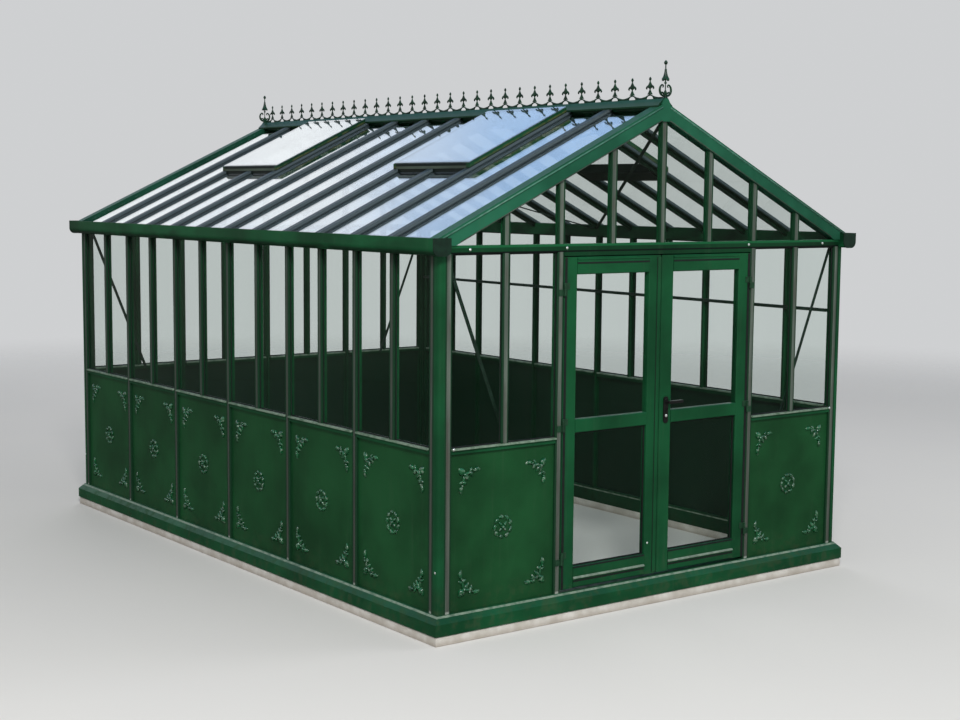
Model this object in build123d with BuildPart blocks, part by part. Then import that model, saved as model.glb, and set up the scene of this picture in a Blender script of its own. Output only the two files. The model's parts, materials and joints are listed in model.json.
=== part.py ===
from build123d import *
from math import atan, atan2, cos, degrees, hypot, radians, sin, tan
import os

# Glass greenhouse with a gabled roof, on a concrete kerb.
# X runs along the front to the right, Y runs into the building and Z is up.
# The origin is the middle of the plan at ground level, and the front faces -Y.
# Millimetres.

# Plan: panes between bar lines, and the outer faces of the walls
end_panes = 8
end_pane_pitch = 365.0
end_corner_inset = 61.0
side_panes = 12
side_pane_pitch = 363.0
side_corner_inset = 65.0
panes_per_panel = 2
door_first_line = 2

# Heights, each on top of the one before it
kerb_height = 50.0
base_skirt_height = 62.0
base_bevel_height = 38.0
panel_height = 826.0
sill_rail_height = 30.0
wall_glass_height = 990.0
tie_beam_height = 42.0
roof_edge_rise = 87.0
roof_pitch = 25.45

# Kerb and base frame
kerb_projection = 30.0
kerb_chamfer = 6.0
base_projection = 35.0
base_inner_depth = 60.0

# Glazing bars of the walls and gables: a cap on the face, and a web with a seat for the panes
bar_cap_width = 44.0
bar_cap_depth = 14.0
bar_cap_chamfer = 3.0
bar_web_width = 16.0
bar_depth = 44.0
bar_seat_thickness = 3.0
glass_thickness = 4.0
glazing_gap = 1.0
post_crown_height = 5.0

# Sill rail
sill_nose_depth = 10.0
sill_nose_height = 10.0

# Gutter and eave beam in one section
gutter_width = 65.0
gutter_depth = 90.0
gutter_drop = 8.0
gutter_wall_thickness = 3.0
gutter_outer_radius = 38.0
gutter_inner_radius = 10.0
gutter_lip_width = 7.0
gutter_overrun_length = 36.0
gutter_cap_thickness = 6.0
gutter_cap_margin = 1.5

# Roof bars and the rafters of the gables
roof_cap_depth = 20.0
roof_bar_overhang = 29.0
roof_glass_overhang = 24.0
rake_projection = 10.0
rake_web_width = 60.0
rake_cap_width = 75.0
rake_depth = 81.0

# Vents in both slopes, with level distances from the ridge
vent_first_lines = (2, 8)
vent_panes = 2
vent_head_distance = 62.0
vent_length = 708.0
vent_header_width = 105.0
vent_drip_length = 5.0
vent_side_lap = 20.0
sash_width = 30.0
sash_height = 28.0
vent_glass_margin = 4.0

# Ridge
ridge_web_width = 60.0
ridge_flange_width = 110.0
ridge_flange_thickness = 8.0
ridge_top_width = 24.0
ridge_top_rise = 23.0

# Cresting: a strip with a fleuron over each of its arches
cresting_thickness = 6.0
fleuron_count = 30
strip_height = 26.0
arch_radius = 20.0
arch_sides = 12
fleuron_height = 98.0
fleuron_foot_width = 66.0
fleuron_foot_height = 18.0
fleuron_neck_width = 9.0
leaf_foot_height = 29.0
leaf_tip_height = 34.0
leaf_shoulder_height = 45.0
leaf_top_height = 66.0
leaf_width = 46.0
fleuron_stem_width = 6.0
fleuron_bead_width = 13.0
fleuron_bead_foot_height = 80.0

# Finials at both ends of the ridge: a collar, a ring with a leaf in it, a bell, and a bead at the tip
finial_inset = 9.0
finial_height = 208.0
collar_width = 28.0
collar_height = 12.0
finial_ring_radius = 32.0
finial_ring_hole_radius = 18.0
finial_ring_thickness = 10.0
finial_ring_sides = 16
finial_turned_sides = 8
finial_leaf_width = 20.0
finial_leaf_height = 30.0
bell_foot_height = 94.0
bell_height = 60.0
bell_radius = 21.0
bell_rim_height = 6.0
bell_neck_radius = 8.0
finial_stem_radius = 4.5
finial_bead_radius = 10.0
finial_bead_height = 24.0
finial_tip_radius = 2.0

# Braces, and the rail inside the right wall
brace_width = 20.0
brace_thickness = 4.0
brace_bar_offset = 50.0
brace_top_drop = 12.0
brace_foot_lap = 20.0
brace_post_lap = 8.0
roof_brace_rake_gap = 12.0
side_rail_rise = 594.0
side_rail_width = 20.0

# Doorway and doors
jamb_depth = 60.0
door_head_height = 22.0
door_edge_gap = 5.0
door_meeting_gap = 9.0
door_head_gap = 6.0
door_foot_gap = 16.0
door_thickness = 40.0
door_edge_chamfer = 4.0
stile_width = 88.0
bottom_rail_height = 118.0
lower_pane_height = 735.0
mid_rail_height = 74.0
top_rail_height = 94.0

# Door hinges and handle
hinge_end_inset = 171.0
hinge_knuckle_radius = 7.0
hinge_knuckle_length = 34.0
hinge_knuckle_gap = 0.4
hinge_standoff = 8.0
hinge_plate_thickness = 3.0
hinge_plate_width = 34.0
handle_rise = 48.0
rose_width = 34.0
rose_length = 150.0
rose_corner_chamfer = 9.0
rose_thickness = 6.0
rose_drop = 45.0
lever_neck_radius = 8.0
lever_neck_length = 26.0
lever_length = 112.0
lever_width = 16.0
lever_corner_chamfer = 4.0

half_width = end_panes * end_pane_pitch / 2 + end_corner_inset
half_length = side_panes * side_pane_pitch / 2 + side_corner_inset
base_top = kerb_height + base_skirt_height + base_bevel_height
sill_underside = base_top + panel_height
sill_height = sill_underside + sill_rail_height
eave_height = sill_height + wall_glass_height
tie_top = eave_height + tie_beam_height
gutter_bottom_height = eave_height - gutter_drop
gutter_top_height = gutter_bottom_height + gutter_depth
slope = tan(radians(roof_pitch))
pitch_cosine = cos(radians(roof_pitch))
pitch_sine = sin(radians(roof_pitch))
ridge_line_height = eave_height + roof_edge_rise + slope * half_width
ridge_top_height = ridge_line_height + ridge_top_rise
ridge_web_half = ridge_web_width / 2
cap_half = bar_cap_width / 2
web_half = bar_web_width / 2
pane_edge = web_half + glazing_gap
glass_back = bar_cap_depth + glass_thickness
seat_back = glass_back + bar_seat_thickness
roof_glass_back = roof_cap_depth + glass_thickness
roof_bar_depth = roof_cap_depth + bar_depth - bar_cap_depth
eave_inner = half_width - bar_depth
rake_outer = half_length + rake_projection
rake_inner = rake_outer - rake_web_width
door_last_line = end_panes - door_first_line
door_line_offset = (end_panes / 2 - door_first_line) * end_pane_pitch
jamb_inner = door_line_offset - cap_half

wall_turns = {"front": 0, "right": 90, "back": 180, "left": -90}
from_line = (Align.CENTER, Align.MIN)


def end_and_side(end_value, side_value):
    """One value for each wall: the ends share theirs, and so do the sides."""
    return {"front": end_value, "right": side_value, "back": end_value, "left": side_value}


wall_panes = end_and_side(end_panes, side_panes)
wall_pitches = end_and_side(end_pane_pitch, side_pane_pitch)
wall_distances = end_and_side(half_length, half_width)
wall_posts = end_and_side((0, end_panes), (0, side_panes))
wall_posts["front"] = (0, door_first_line, door_last_line, end_panes)


def roof_height(x, depth=0.0):
    """Height at x of the plane that lies depth below the roof's top plane, at right angles to it."""
    return ridge_line_height - slope * abs(x) - depth / pitch_cosine


def wall_plane(side, height):
    """Level plane at a height, turned so that the wall's outside is towards local -Y."""
    turn = radians(wall_turns[side])
    return Plane(origin=(0, 0, height), x_dir=(cos(turn), sin(turn), 0), z_dir=(0, 0, 1))


def bar_line(side, line):
    """Place of a bar line along its wall, from the wall's middle."""
    return (line - wall_panes[side] / 2) * wall_pitches[side]


def side_line(line):
    """Y of a bar line of the side walls, which the roof bars share."""
    return (line - side_panes / 2) * side_pane_pitch


def bays(side, step):
    """Pairs of bar lines step panes apart that bound a wall's bays, without the doorway's."""
    pairs = [(line, line + step) for line in range(0, wall_panes[side], step)]
    if side == "front":
        pairs = [pair for pair in pairs if pair[1] <= door_first_line or pair[0] >= door_last_line]
    return pairs


def spans(side, step, half):
    """Ends of what is fitted in each bay, from half a support's width beside its bar lines."""
    return [(bar_line(side, first) + half, bar_line(side, last) - half) for first, last in bays(side, step)]


def draw_strips(side, ends, outer_depth, thickness):
    """Rectangles along a wall, one for each pair of ends, from a depth behind the wall's outer face."""
    for start, end in ends:
        with Locations(((start + end) / 2, -wall_distances[side] + outer_depth)):
            Rectangle(end - start, thickness, align=from_line)


def slope_points(side, start, end, top_depth, bottom_depth):
    """Corners in X and Z of a length of roof member with plumb ends, on the side -1 or +1."""
    return [
        (side * start, roof_height(start, top_depth)),
        (side * end, roof_height(end, top_depth)),
        (side * end, roof_height(end, bottom_depth)),
        (side * start, roof_height(start, bottom_depth)),
    ]


def roof_member(side, start, end, depths, y_range):
    """Prism along the slope from start to end in X, between two depths and two values of Y."""
    with BuildSketch(Plane.XZ.offset(-y_range[1]), mode=Mode.PRIVATE) as outline:
        Polygon(*slope_points(side, start, end, *depths), align=None)
    extrude(outline.sketch, amount=y_range[1] - y_range[0])


with BuildPart() as foundation_kerb:
    with BuildSketch():
        Rectangle(2 * (half_width + kerb_projection), 2 * (half_length + kerb_projection))
    extrude(amount=kerb_height)
    chamfer(foundation_kerb.edges().group_by(Axis.Z)[-1], kerb_chamfer)
    with BuildSketch():
        Rectangle(2 * (half_width - base_inner_depth), 2 * (half_length - base_inner_depth))
    extrude(amount=kerb_height, mode=Mode.SUBTRACT)
foundation_kerb.part.label = "foundation_kerb"

with BuildPart() as base_frame:
    with BuildSketch(Plane.XY.offset(kerb_height)):
        Rectangle(2 * (half_width + base_projection), 2 * (half_length + base_projection))
    extrude(amount=base_skirt_height)
    with BuildSketch(Plane.XY.offset(kerb_height + base_skirt_height)):
        Rectangle(2 * (half_width + base_projection), 2 * (half_length + base_projection))
    extrude(amount=base_bevel_height, taper=degrees(atan(base_projection / base_bevel_height)))
    with BuildSketch(Plane.XY.offset(kerb_height)):
        Rectangle(2 * (half_width - base_inner_depth), 2 * (half_length - base_inner_depth))
    extrude(amount=base_top - kerb_height, mode=Mode.SUBTRACT)
base_frame.part.label = "base_frame"


def post_arm(inset):
    """Corners of one arm of a corner post's section, from its crowned band round to its inner face."""
    return [
        (inset - cap_half, 0),
        (inset - cap_half, bar_cap_depth),
        (inset + web_half, bar_cap_depth),
        (inset + web_half, glass_back),
        (inset + cap_half, glass_back),
        (inset + cap_half, seat_back),
        (inset + web_half, seat_back),
        (inset + web_half, bar_depth),
    ]


# Section of the front left post. A crowned band joins the caps of its two bar lines round the corner
with BuildSketch(mode=Mode.PRIVATE) as post_section:
    with BuildLine():
        end_arm = post_arm(end_corner_inset)
        side_arm = [(y, x) for x, y in reversed(post_arm(side_corner_inset))]
        Polyline(*end_arm, (bar_depth, bar_depth), *side_arm)
        band_x = end_corner_inset - cap_half
        band_y = side_corner_inset - cap_half
        crown = post_crown_height / hypot(band_x, band_y)
        crown_top = (band_x / 2 - crown * band_y, band_y / 2 - crown * band_x)
        ThreePointArc((0, band_y), crown_top, (band_x, 0))
    make_face()

with BuildPart() as corner_posts:
    with BuildSketch(Plane.XY.offset(base_top)):
        with Locations((-half_width, -half_length)):
            add(post_section.sketch)
        mirror(about=Plane.YZ)
        mirror(about=Plane.XZ)
    extrude(amount=eave_height - base_top)
corner_posts.part.label = "corner_posts"

# Section of a wall bar behind its cap: a web, with a seat for the panes across it
with BuildSketch(mode=Mode.PRIVATE) as bar_section:
    with Locations((0, bar_cap_depth)):
        Rectangle(bar_web_width, bar_depth - bar_cap_depth, align=from_line)
    with Locations((0, glass_back)):
        Rectangle(bar_cap_width, bar_seat_thickness, align=from_line)

# Section of the cap that holds the panes on their seats
with BuildSketch(mode=Mode.PRIVATE) as cap_section:
    Rectangle(bar_cap_width, bar_cap_depth, align=from_line)
    chamfer(cap_section.vertices().group_by(Axis.Y)[0], bar_cap_chamfer)


def raise_on_lines(side, section, lines, foot):
    """Uprights of one section on bar lines of a wall, from a foot height up to the eave."""
    if lines:
        with BuildSketch(wall_plane(side, foot), mode=Mode.PRIVATE) as feet:
            with Locations(*[(bar_line(side, line), -wall_distances[side]) for line in lines]):
                add(section.sketch)
        extrude(feet.sketch, amount=eave_height - foot)


def make_uprights(name, side, section, with_posts):
    """Full uprights at the seams of the panels, and shorter ones that stand on the sill between them."""
    lines = sorted(set(wall_posts[side]) | {line for pair in bays(side, 1) for line in pair})
    if not with_posts:
        lines = [line for line in lines if line not in wall_posts[side]]
    seams = [line for line in lines if line % panes_per_panel == 0]
    with BuildPart() as uprights:
        raise_on_lines(side, section, seams, base_top)
        raise_on_lines(side, section, [line for line in lines if line not in seams], sill_height)
    uprights.part.label = name + "_" + side
    return uprights


wall_bars = [make_uprights("wall_bars", side, bar_section, False) for side in wall_turns]
wall_caps = [make_uprights("wall_caps", side, cap_section, True) for side in wall_turns]


def make_lower_panels(name, sides):
    """Sheet-metal panels between the base frame and the sill, held by the bars as the panes are."""
    with BuildPart() as panels:
        for side in sides:
            with BuildSketch(wall_plane(side, base_top)):
                draw_strips(side, spans(side, panes_per_panel, pane_edge), bar_cap_depth, glass_thickness)
            extrude(amount=panel_height)
    panels.part.label = name
    return panels


lower_panels_sides = make_lower_panels("lower_panels_sides", ("left", "right"))
lower_panels_ends = make_lower_panels("lower_panels_ends", ("front", "back"))

with BuildPart() as sill_rails:
    for side in wall_turns:
        rail_ends = spans(side, panes_per_panel, cap_half)
        with BuildSketch(wall_plane(side, sill_underside)):
            draw_strips(side, rail_ends, 0, bar_depth)
        extrude(amount=sill_rail_height)
        with BuildSketch(wall_plane(side, sill_height - sill_nose_height)):
            draw_strips(side, rail_ends, -sill_nose_depth, sill_nose_depth)
        extrude(amount=sill_nose_height)
sill_rails.part.label = "sill_rails"


def make_wall_glass(side):
    """Panes from the sill to the eave, one between each pair of bars, behind their caps."""
    with BuildPart() as panes:
        with BuildSketch(wall_plane(side, sill_height)):
            draw_strips(side, spans(side, 1, pane_edge), bar_cap_depth, glass_thickness)
        extrude(amount=wall_glass_height)
    panes.part.label = "wall_glass_" + side
    return panes


wall_glass = [make_wall_glass(side) for side in wall_turns]


def make_eave_gutter(side, name):
    """Gutter and eave beam of one side, -1 or +1, as one section run past both ends."""
    outer_wall = half_width + gutter_width
    inner_wall = half_width + gutter_wall_thickness
    outer_corner = -1 if side > 0 else 0
    inner_corner = 0 if side > 0 else -1
    with BuildSketch(Plane.XZ, mode=Mode.PRIVATE) as hollow:
        with Locations((side * (outer_wall + half_width) / 2, gutter_bottom_height + gutter_wall_thickness)):
            Rectangle(gutter_width - 2 * gutter_wall_thickness, gutter_depth, align=from_line)
        hollow_corners = hollow.vertices().group_by(Axis.Y)[0].sort_by(Axis.X)
        fillet(hollow_corners[outer_corner], gutter_outer_radius - gutter_wall_thickness)
    with BuildPart() as gutter:
        with BuildSketch(Plane.XZ) as section:
            with Locations((side * (outer_wall + half_width) / 2, gutter_bottom_height)):
                Rectangle(gutter_width, gutter_depth, align=from_line)
            fillet(section.vertices().group_by(Axis.Y)[0].sort_by(Axis.X)[outer_corner], gutter_outer_radius)
            fillet(section.vertices().group_by(Axis.Y)[0].sort_by(Axis.X)[inner_corner], gutter_inner_radius)
            add(hollow.sketch, mode=Mode.SUBTRACT)
            lip_foot = gutter_top_height - gutter_wall_thickness
            with Locations((side * (outer_wall - gutter_lip_width / 2), lip_foot)):
                Rectangle(gutter_lip_width, gutter_wall_thickness, align=from_line)
            above_glass = [
                (side * half_width, roof_height(half_width, roof_glass_back)),
                (side * inner_wall, roof_height(inner_wall, roof_glass_back)),
                (side * inner_wall, ridge_line_height),
                (side * half_width, ridge_line_height),
            ]
            Polygon(*above_glass, align=None, mode=Mode.SUBTRACT)
            beam = [
                (side * half_width, eave_height),
                (side * half_width, roof_height(half_width, roof_glass_back)),
                (side * eave_inner, roof_height(eave_inner, roof_glass_back)),
                (side * eave_inner, eave_height),
            ]
            Polygon(*beam, align=None)
        extrude(amount=half_length + gutter_overrun_length, both=True)
    gutter.part.label = name
    return gutter


eave_gutter_left = make_eave_gutter(-1, "eave_gutter_left")
eave_gutter_right = make_eave_gutter(1, "eave_gutter_right")

with BuildPart() as gutter_end_caps:
    cap_width = gutter_width + gutter_cap_margin + bar_depth
    for end in (-1, 1):
        outer_y = end * (half_length + gutter_overrun_length + gutter_cap_thickness)
        with BuildSketch(Plane.XZ.offset(-outer_y)) as cap_faces:
            for side in (-1, 1):
                cap_middle = side * (eave_inner + cap_width / 2)
                with Locations((cap_middle, gutter_bottom_height - gutter_cap_margin)):
                    Rectangle(cap_width, gutter_depth + gutter_cap_margin, align=from_line)
            fillet(cap_faces.vertices().group_by(Axis.Y)[0], gutter_outer_radius)
        extrude(amount=end * gutter_cap_thickness)
gutter_end_caps.part.label = "gutter_end_caps"

with BuildPart() as tie_beams:
    for side in ("front", "back"):
        with BuildSketch(wall_plane(side, eave_height)):
            draw_strips(side, [(-eave_inner, eave_inner)], 0, bar_depth)
        extrude(amount=tie_beam_height)
tie_beams.part.label = "tie_beams"

gable_height = ridge_line_height - tie_top
rake_underside = roof_height(ridge_web_half, rake_depth)
gable_reach = (roof_height(0, rake_depth) - tie_top) / slope

# Opening of a gable between its tie beam, its rafters and the ridge
with BuildSketch(mode=Mode.PRIVATE) as gable_opening:
    Polygon(
        (-gable_reach, tie_top),
        (gable_reach, tie_top),
        (ridge_web_half, rake_underside),
        (-ridge_web_half, rake_underside),
        align=None,
    )

with BuildPart() as rake_rafters:
    for end in (-1, 1):
        rake_face = Plane.XZ.offset(-end * rake_outer)
        with BuildSketch(rake_face):
            for side in (-1, 1):
                Polygon(
                    (side * ridge_web_half, roof_height(ridge_web_half)),
                    (side * eave_inner, roof_height(eave_inner)),
                    (side * eave_inner, tie_top),
                    (side * ridge_web_half, tie_top),
                    align=None,
                )
            add(gable_opening.sketch, mode=Mode.SUBTRACT)
        extrude(amount=end * rake_web_width)
        with BuildSketch(rake_face):
            for side in (-1, 1):
                rake_end = half_width + roof_bar_overhang
                Polygon(*slope_points(side, ridge_web_half, rake_end, 0, roof_cap_depth), align=None)
        extrude(amount=end * rake_cap_width)
rake_rafters.part.label = "rake_rafters"


def extrude_gable_strips(edges, depths):
    """Upright strips that fill both gables' openings between the given edges, in a layer of the wall."""
    for end in (-1, 1):
        with BuildSketch(Plane.XZ.offset(-end * (half_length - depths[0])), mode=Mode.PRIVATE) as strips:
            for start, finish in edges:
                with Locations(((start + finish) / 2, tie_top)):
                    Rectangle(finish - start, gable_height, align=from_line)
            add(gable_opening.sketch, mode=Mode.INTERSECT)
        extrude(strips.sketch, amount=end * (depths[1] - depths[0]))


def edges_about_lines(half):
    """Edges of what stands on the gables' inner bar lines, with the given half width."""
    places = [bar_line("front", line) for line in range(1, end_panes)]
    return [(place - half, place + half) for place in places]


with BuildPart() as gable_bars:
    extrude_gable_strips(edges_about_lines(web_half), (bar_cap_depth, bar_depth))
    extrude_gable_strips(edges_about_lines(cap_half), (glass_back, seat_back))
gable_bars.part.label = "gable_bars"

with BuildPart() as gable_caps:
    extrude_gable_strips(edges_about_lines(cap_half), (0, bar_cap_depth))
gable_caps.part.label = "gable_caps"

with BuildPart() as gable_glass:
    extrude_gable_strips(spans("back", 1, pane_edge), (bar_cap_depth, glass_back))
gable_glass.part.label = "gable_glass"

vent_foot_distance = vent_head_distance + vent_length
vent_header_foot = vent_foot_distance - vent_drip_length
vent_header_top = vent_header_foot - vent_header_width
vent_middle_lines = [first + 1 for first in vent_first_lines]


def make_roof_bars(side, name):
    """Roof bars of one slope: caps from the ridge out over the gutter, webs and seats to the eave beam."""
    with BuildPart() as bars:
        for line in range(1, side_panes):
            y = side_line(line)
            start = vent_header_foot if line in vent_middle_lines else ridge_web_half
            cap_edges = (y - cap_half, y + cap_half)
            web_edges = (y - web_half, y + web_half)
            seat_depths = (roof_glass_back, roof_glass_back + bar_seat_thickness)
            roof_member(side, start, half_width + roof_bar_overhang, (0, roof_cap_depth), cap_edges)
            roof_member(side, start, eave_inner, (roof_cap_depth, roof_bar_depth), web_edges)
            roof_member(side, start, eave_inner, seat_depths, cap_edges)
    bars.part.label = name
    return bars


roof_bars_left = make_roof_bars(-1, "roof_bars_left")
roof_bars_right = make_roof_bars(1, "roof_bars_right")


def make_roof_glass(side, name):
    """Panes of one slope under the bars' caps. Under a vent they start at its header."""
    with BuildPart() as panes:
        for line in range(0, side_panes):
            low = side_line(line) + pane_edge
            high = side_line(line + 1) - pane_edge
            if line == 0:
                low = -rake_inner + glazing_gap
            if line == side_panes - 1:
                high = rake_inner - glazing_gap
            under_vent = any(first <= line < first + vent_panes for first in vent_first_lines)
            start = vent_header_foot if under_vent else ridge_web_half
            foot = half_width + roof_glass_overhang
            roof_member(side, start, foot, (roof_cap_depth, roof_glass_back), (low, high))
    panes.part.label = name
    return panes


roof_glass_left = make_roof_glass(-1, "roof_glass_left")
roof_glass_right = make_roof_glass(1, "roof_glass_right")

with BuildPart() as vent_headers:
    for side in (-1, 1):
        for first in vent_first_lines:
            low = side_line(first) + cap_half
            high = side_line(first + vent_panes) - cap_half
            roof_member(side, vent_header_top, vent_header_foot, (0, roof_bar_depth), (low, high))
vent_headers.part.label = "vent_headers"


def vent_edges(first):
    """Y of the outer edges of the vent that starts at a bar line."""
    return side_line(first) - vent_side_lap, side_line(first + vent_panes) + vent_side_lap


with BuildPart() as vent_stiles:
    for side in (-1, 1):
        for first in vent_first_lines:
            low, high = vent_edges(first)
            for edges in ((low, low + sash_width), (high - sash_width, high)):
                roof_member(side, vent_head_distance, vent_foot_distance, (-sash_height, 0), edges)
vent_stiles.part.label = "vent_stiles"

with BuildPart() as vent_rails:
    for side in (-1, 1):
        for first in vent_first_lines:
            low, high = vent_edges(first)
            inner = (low + sash_width, high - sash_width)
            for start in (vent_head_distance, vent_foot_distance - sash_width):
                roof_member(side, start, start + sash_width, (-sash_height, 0), inner)
vent_rails.part.label = "vent_rails"

with BuildPart() as vent_glass:
    for side in (-1, 1):
        for first in vent_first_lines:
            low, high = vent_edges(first)
            depths = (-sash_height - glass_thickness, -sash_height)
            edges = (low + vent_glass_margin, high - vent_glass_margin)
            roof_member(side, vent_head_distance, vent_foot_distance - vent_glass_margin, depths, edges)
vent_glass.part.label = "vent_glass"

with BuildPart() as ridge_beam:
    flange_edge = ridge_flange_width / 2
    with BuildSketch(Plane.XZ):
        with BuildLine():
            Polyline(
                (0, ridge_top_height),
                (ridge_top_width / 2, ridge_top_height),
                (flange_edge, roof_height(flange_edge, -ridge_flange_thickness)),
                (flange_edge, roof_height(flange_edge)),
                (ridge_web_half, roof_height(ridge_web_half)),
                (ridge_web_half, rake_underside),
                (0, rake_underside),
            )
            mirror(about=Plane.YZ)
        make_face()
    extrude(amount=half_length, both=True)
ridge_beam.part.label = "ridge_beam"

with BuildPart() as gable_apex_plates:
    for end in (-1, 1):
        with BuildSketch(Plane.XZ.offset(-end * rake_outer)):
            with BuildLine():
                Polyline(
                    (0, ridge_top_height),
                    (ridge_top_width / 2, ridge_top_height),
                    (ridge_web_half, roof_height(ridge_web_half, -ridge_flange_thickness)),
                    (ridge_web_half, rake_underside),
                    (0, rake_underside),
                )
                mirror(about=Plane.YZ)
            make_face()
        extrude(amount=end * rake_projection)
gable_apex_plates.part.label = "gable_apex_plates"

# One fleuron of the cresting, from the strip's top: a flared foot, a pair of leaves, a stem and a bead
with BuildSketch(mode=Mode.PRIVATE) as fleuron:
    with BuildLine():
        Polyline(
            (0, 0),
            (fleuron_foot_width / 2, 0),
            (fleuron_foot_width / 5, fleuron_foot_height / 4),
            (fleuron_neck_width / 2, fleuron_foot_height),
            (fleuron_neck_width / 2, leaf_foot_height),
            (leaf_width / 2, leaf_tip_height),
            (leaf_width * 0.4, leaf_shoulder_height),
            (leaf_width * 0.2, (leaf_shoulder_height + leaf_top_height) / 2),
            (fleuron_stem_width / 2, leaf_top_height),
            (fleuron_stem_width / 2, fleuron_bead_foot_height),
            (fleuron_bead_width / 2, fleuron_bead_foot_height + fleuron_bead_width * 0.4),
            (fleuron_bead_width / 2, fleuron_bead_foot_height + fleuron_bead_width * 0.8),
            (0, fleuron_height),
        )
        mirror(about=Plane.YZ)
    make_face()

cresting_plane = Plane(
    origin=(-cresting_thickness / 2, 0, ridge_top_height),
    x_dir=(0, 1, 0),
    z_dir=(1, 0, 0),
)
finial_y = half_length - finial_inset

with BuildPart() as ridge_cresting:
    fleuron_pitch = 2 * half_length / (fleuron_count + 1)
    fleuron_places = [(n - (fleuron_count - 1) / 2) * fleuron_pitch for n in range(fleuron_count)]
    with BuildSketch(cresting_plane):
        Rectangle(2 * finial_y - collar_width, strip_height, align=from_line)
        with Locations(*[(y, 0) for y in fleuron_places]):
            RegularPolygon(arch_radius, arch_sides, mode=Mode.SUBTRACT)
        with Locations(*[(y, strip_height) for y in fleuron_places]):
            add(fleuron.sketch)
    extrude(amount=cresting_thickness)
ridge_cresting.part.label = "ridge_cresting"

with BuildPart() as ridge_finials:
    ring_middle = ridge_top_height + collar_height + finial_ring_radius
    ring_top = ring_middle + finial_ring_radius
    bell_foot = ridge_top_height + bell_foot_height
    bell_top = bell_foot + bell_height
    finial_top = ridge_top_height + finial_height
    bead_foot = finial_top - finial_bead_height
    finial_turnings = (
        ((ring_top - finial_ring_thickness, finial_stem_radius), (bead_foot, finial_stem_radius)),
        ((bell_foot, bell_radius), (bell_foot + bell_rim_height, bell_radius), (bell_top, bell_neck_radius)),
        (
            (bead_foot, finial_stem_radius),
            (bead_foot + finial_bead_height / 3, finial_bead_radius),
            (bead_foot + finial_bead_height * 2 / 3, finial_bead_radius),
            (finial_top, finial_tip_radius),
        ),
    )
    for end in (-1, 1):
        with BuildSketch(Plane.XY.offset(ridge_top_height)):
            with Locations((0, end * finial_y)):
                Rectangle(collar_width, collar_width)
        extrude(amount=collar_height)
        with BuildSketch(Plane.XZ.offset(-end * finial_y)):
            with Locations((0, ring_middle)):
                RegularPolygon(finial_ring_radius, finial_ring_sides, major_radius=False)
                RegularPolygon(finial_ring_hole_radius, finial_ring_sides, mode=Mode.SUBTRACT)
            leaf_foot = ring_middle - finial_ring_hole_radius
            Polygon(
                (-finial_leaf_width / 2, leaf_foot),
                (finial_leaf_width / 2, leaf_foot),
                (0, leaf_foot + finial_leaf_height),
                align=None,
            )
        extrude(amount=finial_ring_thickness / 2, both=True)
        for turning in finial_turnings:
            for height, radius in turning:
                with BuildSketch(Plane.XY.offset(height)):
                    with Locations((0, end * finial_y)):
                        RegularPolygon(radius, finial_turned_sides)
            loft(ruled=True)
ridge_finials.part.label = "ridge_finials"


def draw_bar(start, end, width):
    """A straight bar's outline from its start to its end, with square ends."""
    along = (end[0] - start[0], end[1] - start[1])
    middle = ((start[0] + end[0]) / 2, (start[1] + end[1]) / 2)
    with Locations(middle):
        Rectangle(hypot(*along), width, rotation=degrees(atan2(along[1], along[0])))


with BuildPart() as wind_braces:
    brace_foot_x = half_width - end_corner_inset - end_pane_pitch - brace_bar_offset
    brace_top_x = half_width - end_corner_inset - cap_half + brace_post_lap
    for end in (-1, 1):
        with BuildSketch(Plane.XZ.offset(-end * (half_length - bar_depth))):
            for side in (-1, 1):
                top = (side * brace_top_x, eave_height - brace_top_drop)
                foot = (side * brace_foot_x, sill_height - brace_foot_lap)
                draw_bar(top, foot, brace_width)
        extrude(amount=end * brace_thickness)
wind_braces.part.label = "wind_braces"

with BuildPart() as roof_braces:
    for side in (-1, 1):
        underside = Plane(
            origin=(0, 0, roof_height(0, roof_bar_depth + brace_thickness)),
            x_dir=(side * pitch_cosine, 0, -pitch_sine),
            z_dir=(side * pitch_sine, 0, pitch_cosine),
        )
        with BuildSketch(underside):
            for end in (-1, 1):
                top_x = (ridge_web_half + brace_width) / pitch_cosine
                foot_x = (eave_inner - brace_width) / pitch_cosine
                top = (top_x, side * end * (rake_inner - roof_brace_rake_gap))
                foot = (foot_x, side * end * brace_width)
                draw_bar(top, foot, brace_width)
        extrude(amount=brace_thickness)
roof_braces.part.label = "roof_braces"

with BuildPart() as side_wall_rail:
    with BuildSketch(Plane.XZ):
        with Locations((eave_inner - side_rail_width / 2, sill_height + side_rail_rise)):
            Rectangle(side_rail_width, side_rail_width)
    extrude(amount=half_length - side_corner_inset - web_half, both=True)
side_wall_rail.part.label = "side_wall_rail"

with BuildPart() as door_jambs:
    with BuildSketch(Plane.XY.offset(base_top)):
        with Locations((jamb_inner, -half_length + bar_cap_depth)):
            Rectangle(cap_half + web_half, jamb_depth - bar_cap_depth, align=Align.MIN)
        with Locations((jamb_inner, -half_length + glass_back)):
            Rectangle(bar_cap_width, bar_seat_thickness, align=Align.MIN)
        mirror(about=Plane.YZ)
    extrude(amount=eave_height - base_top)
door_jambs.part.label = "door_jambs"

with BuildPart() as door_head:
    with BuildSketch(Plane.XY.offset(eave_height - door_head_height)):
        with Locations((0, -half_length)):
            Rectangle(2 * jamb_inner, jamb_depth, align=from_line)
    extrude(amount=door_head_height)
door_head.part.label = "door_head"

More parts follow.
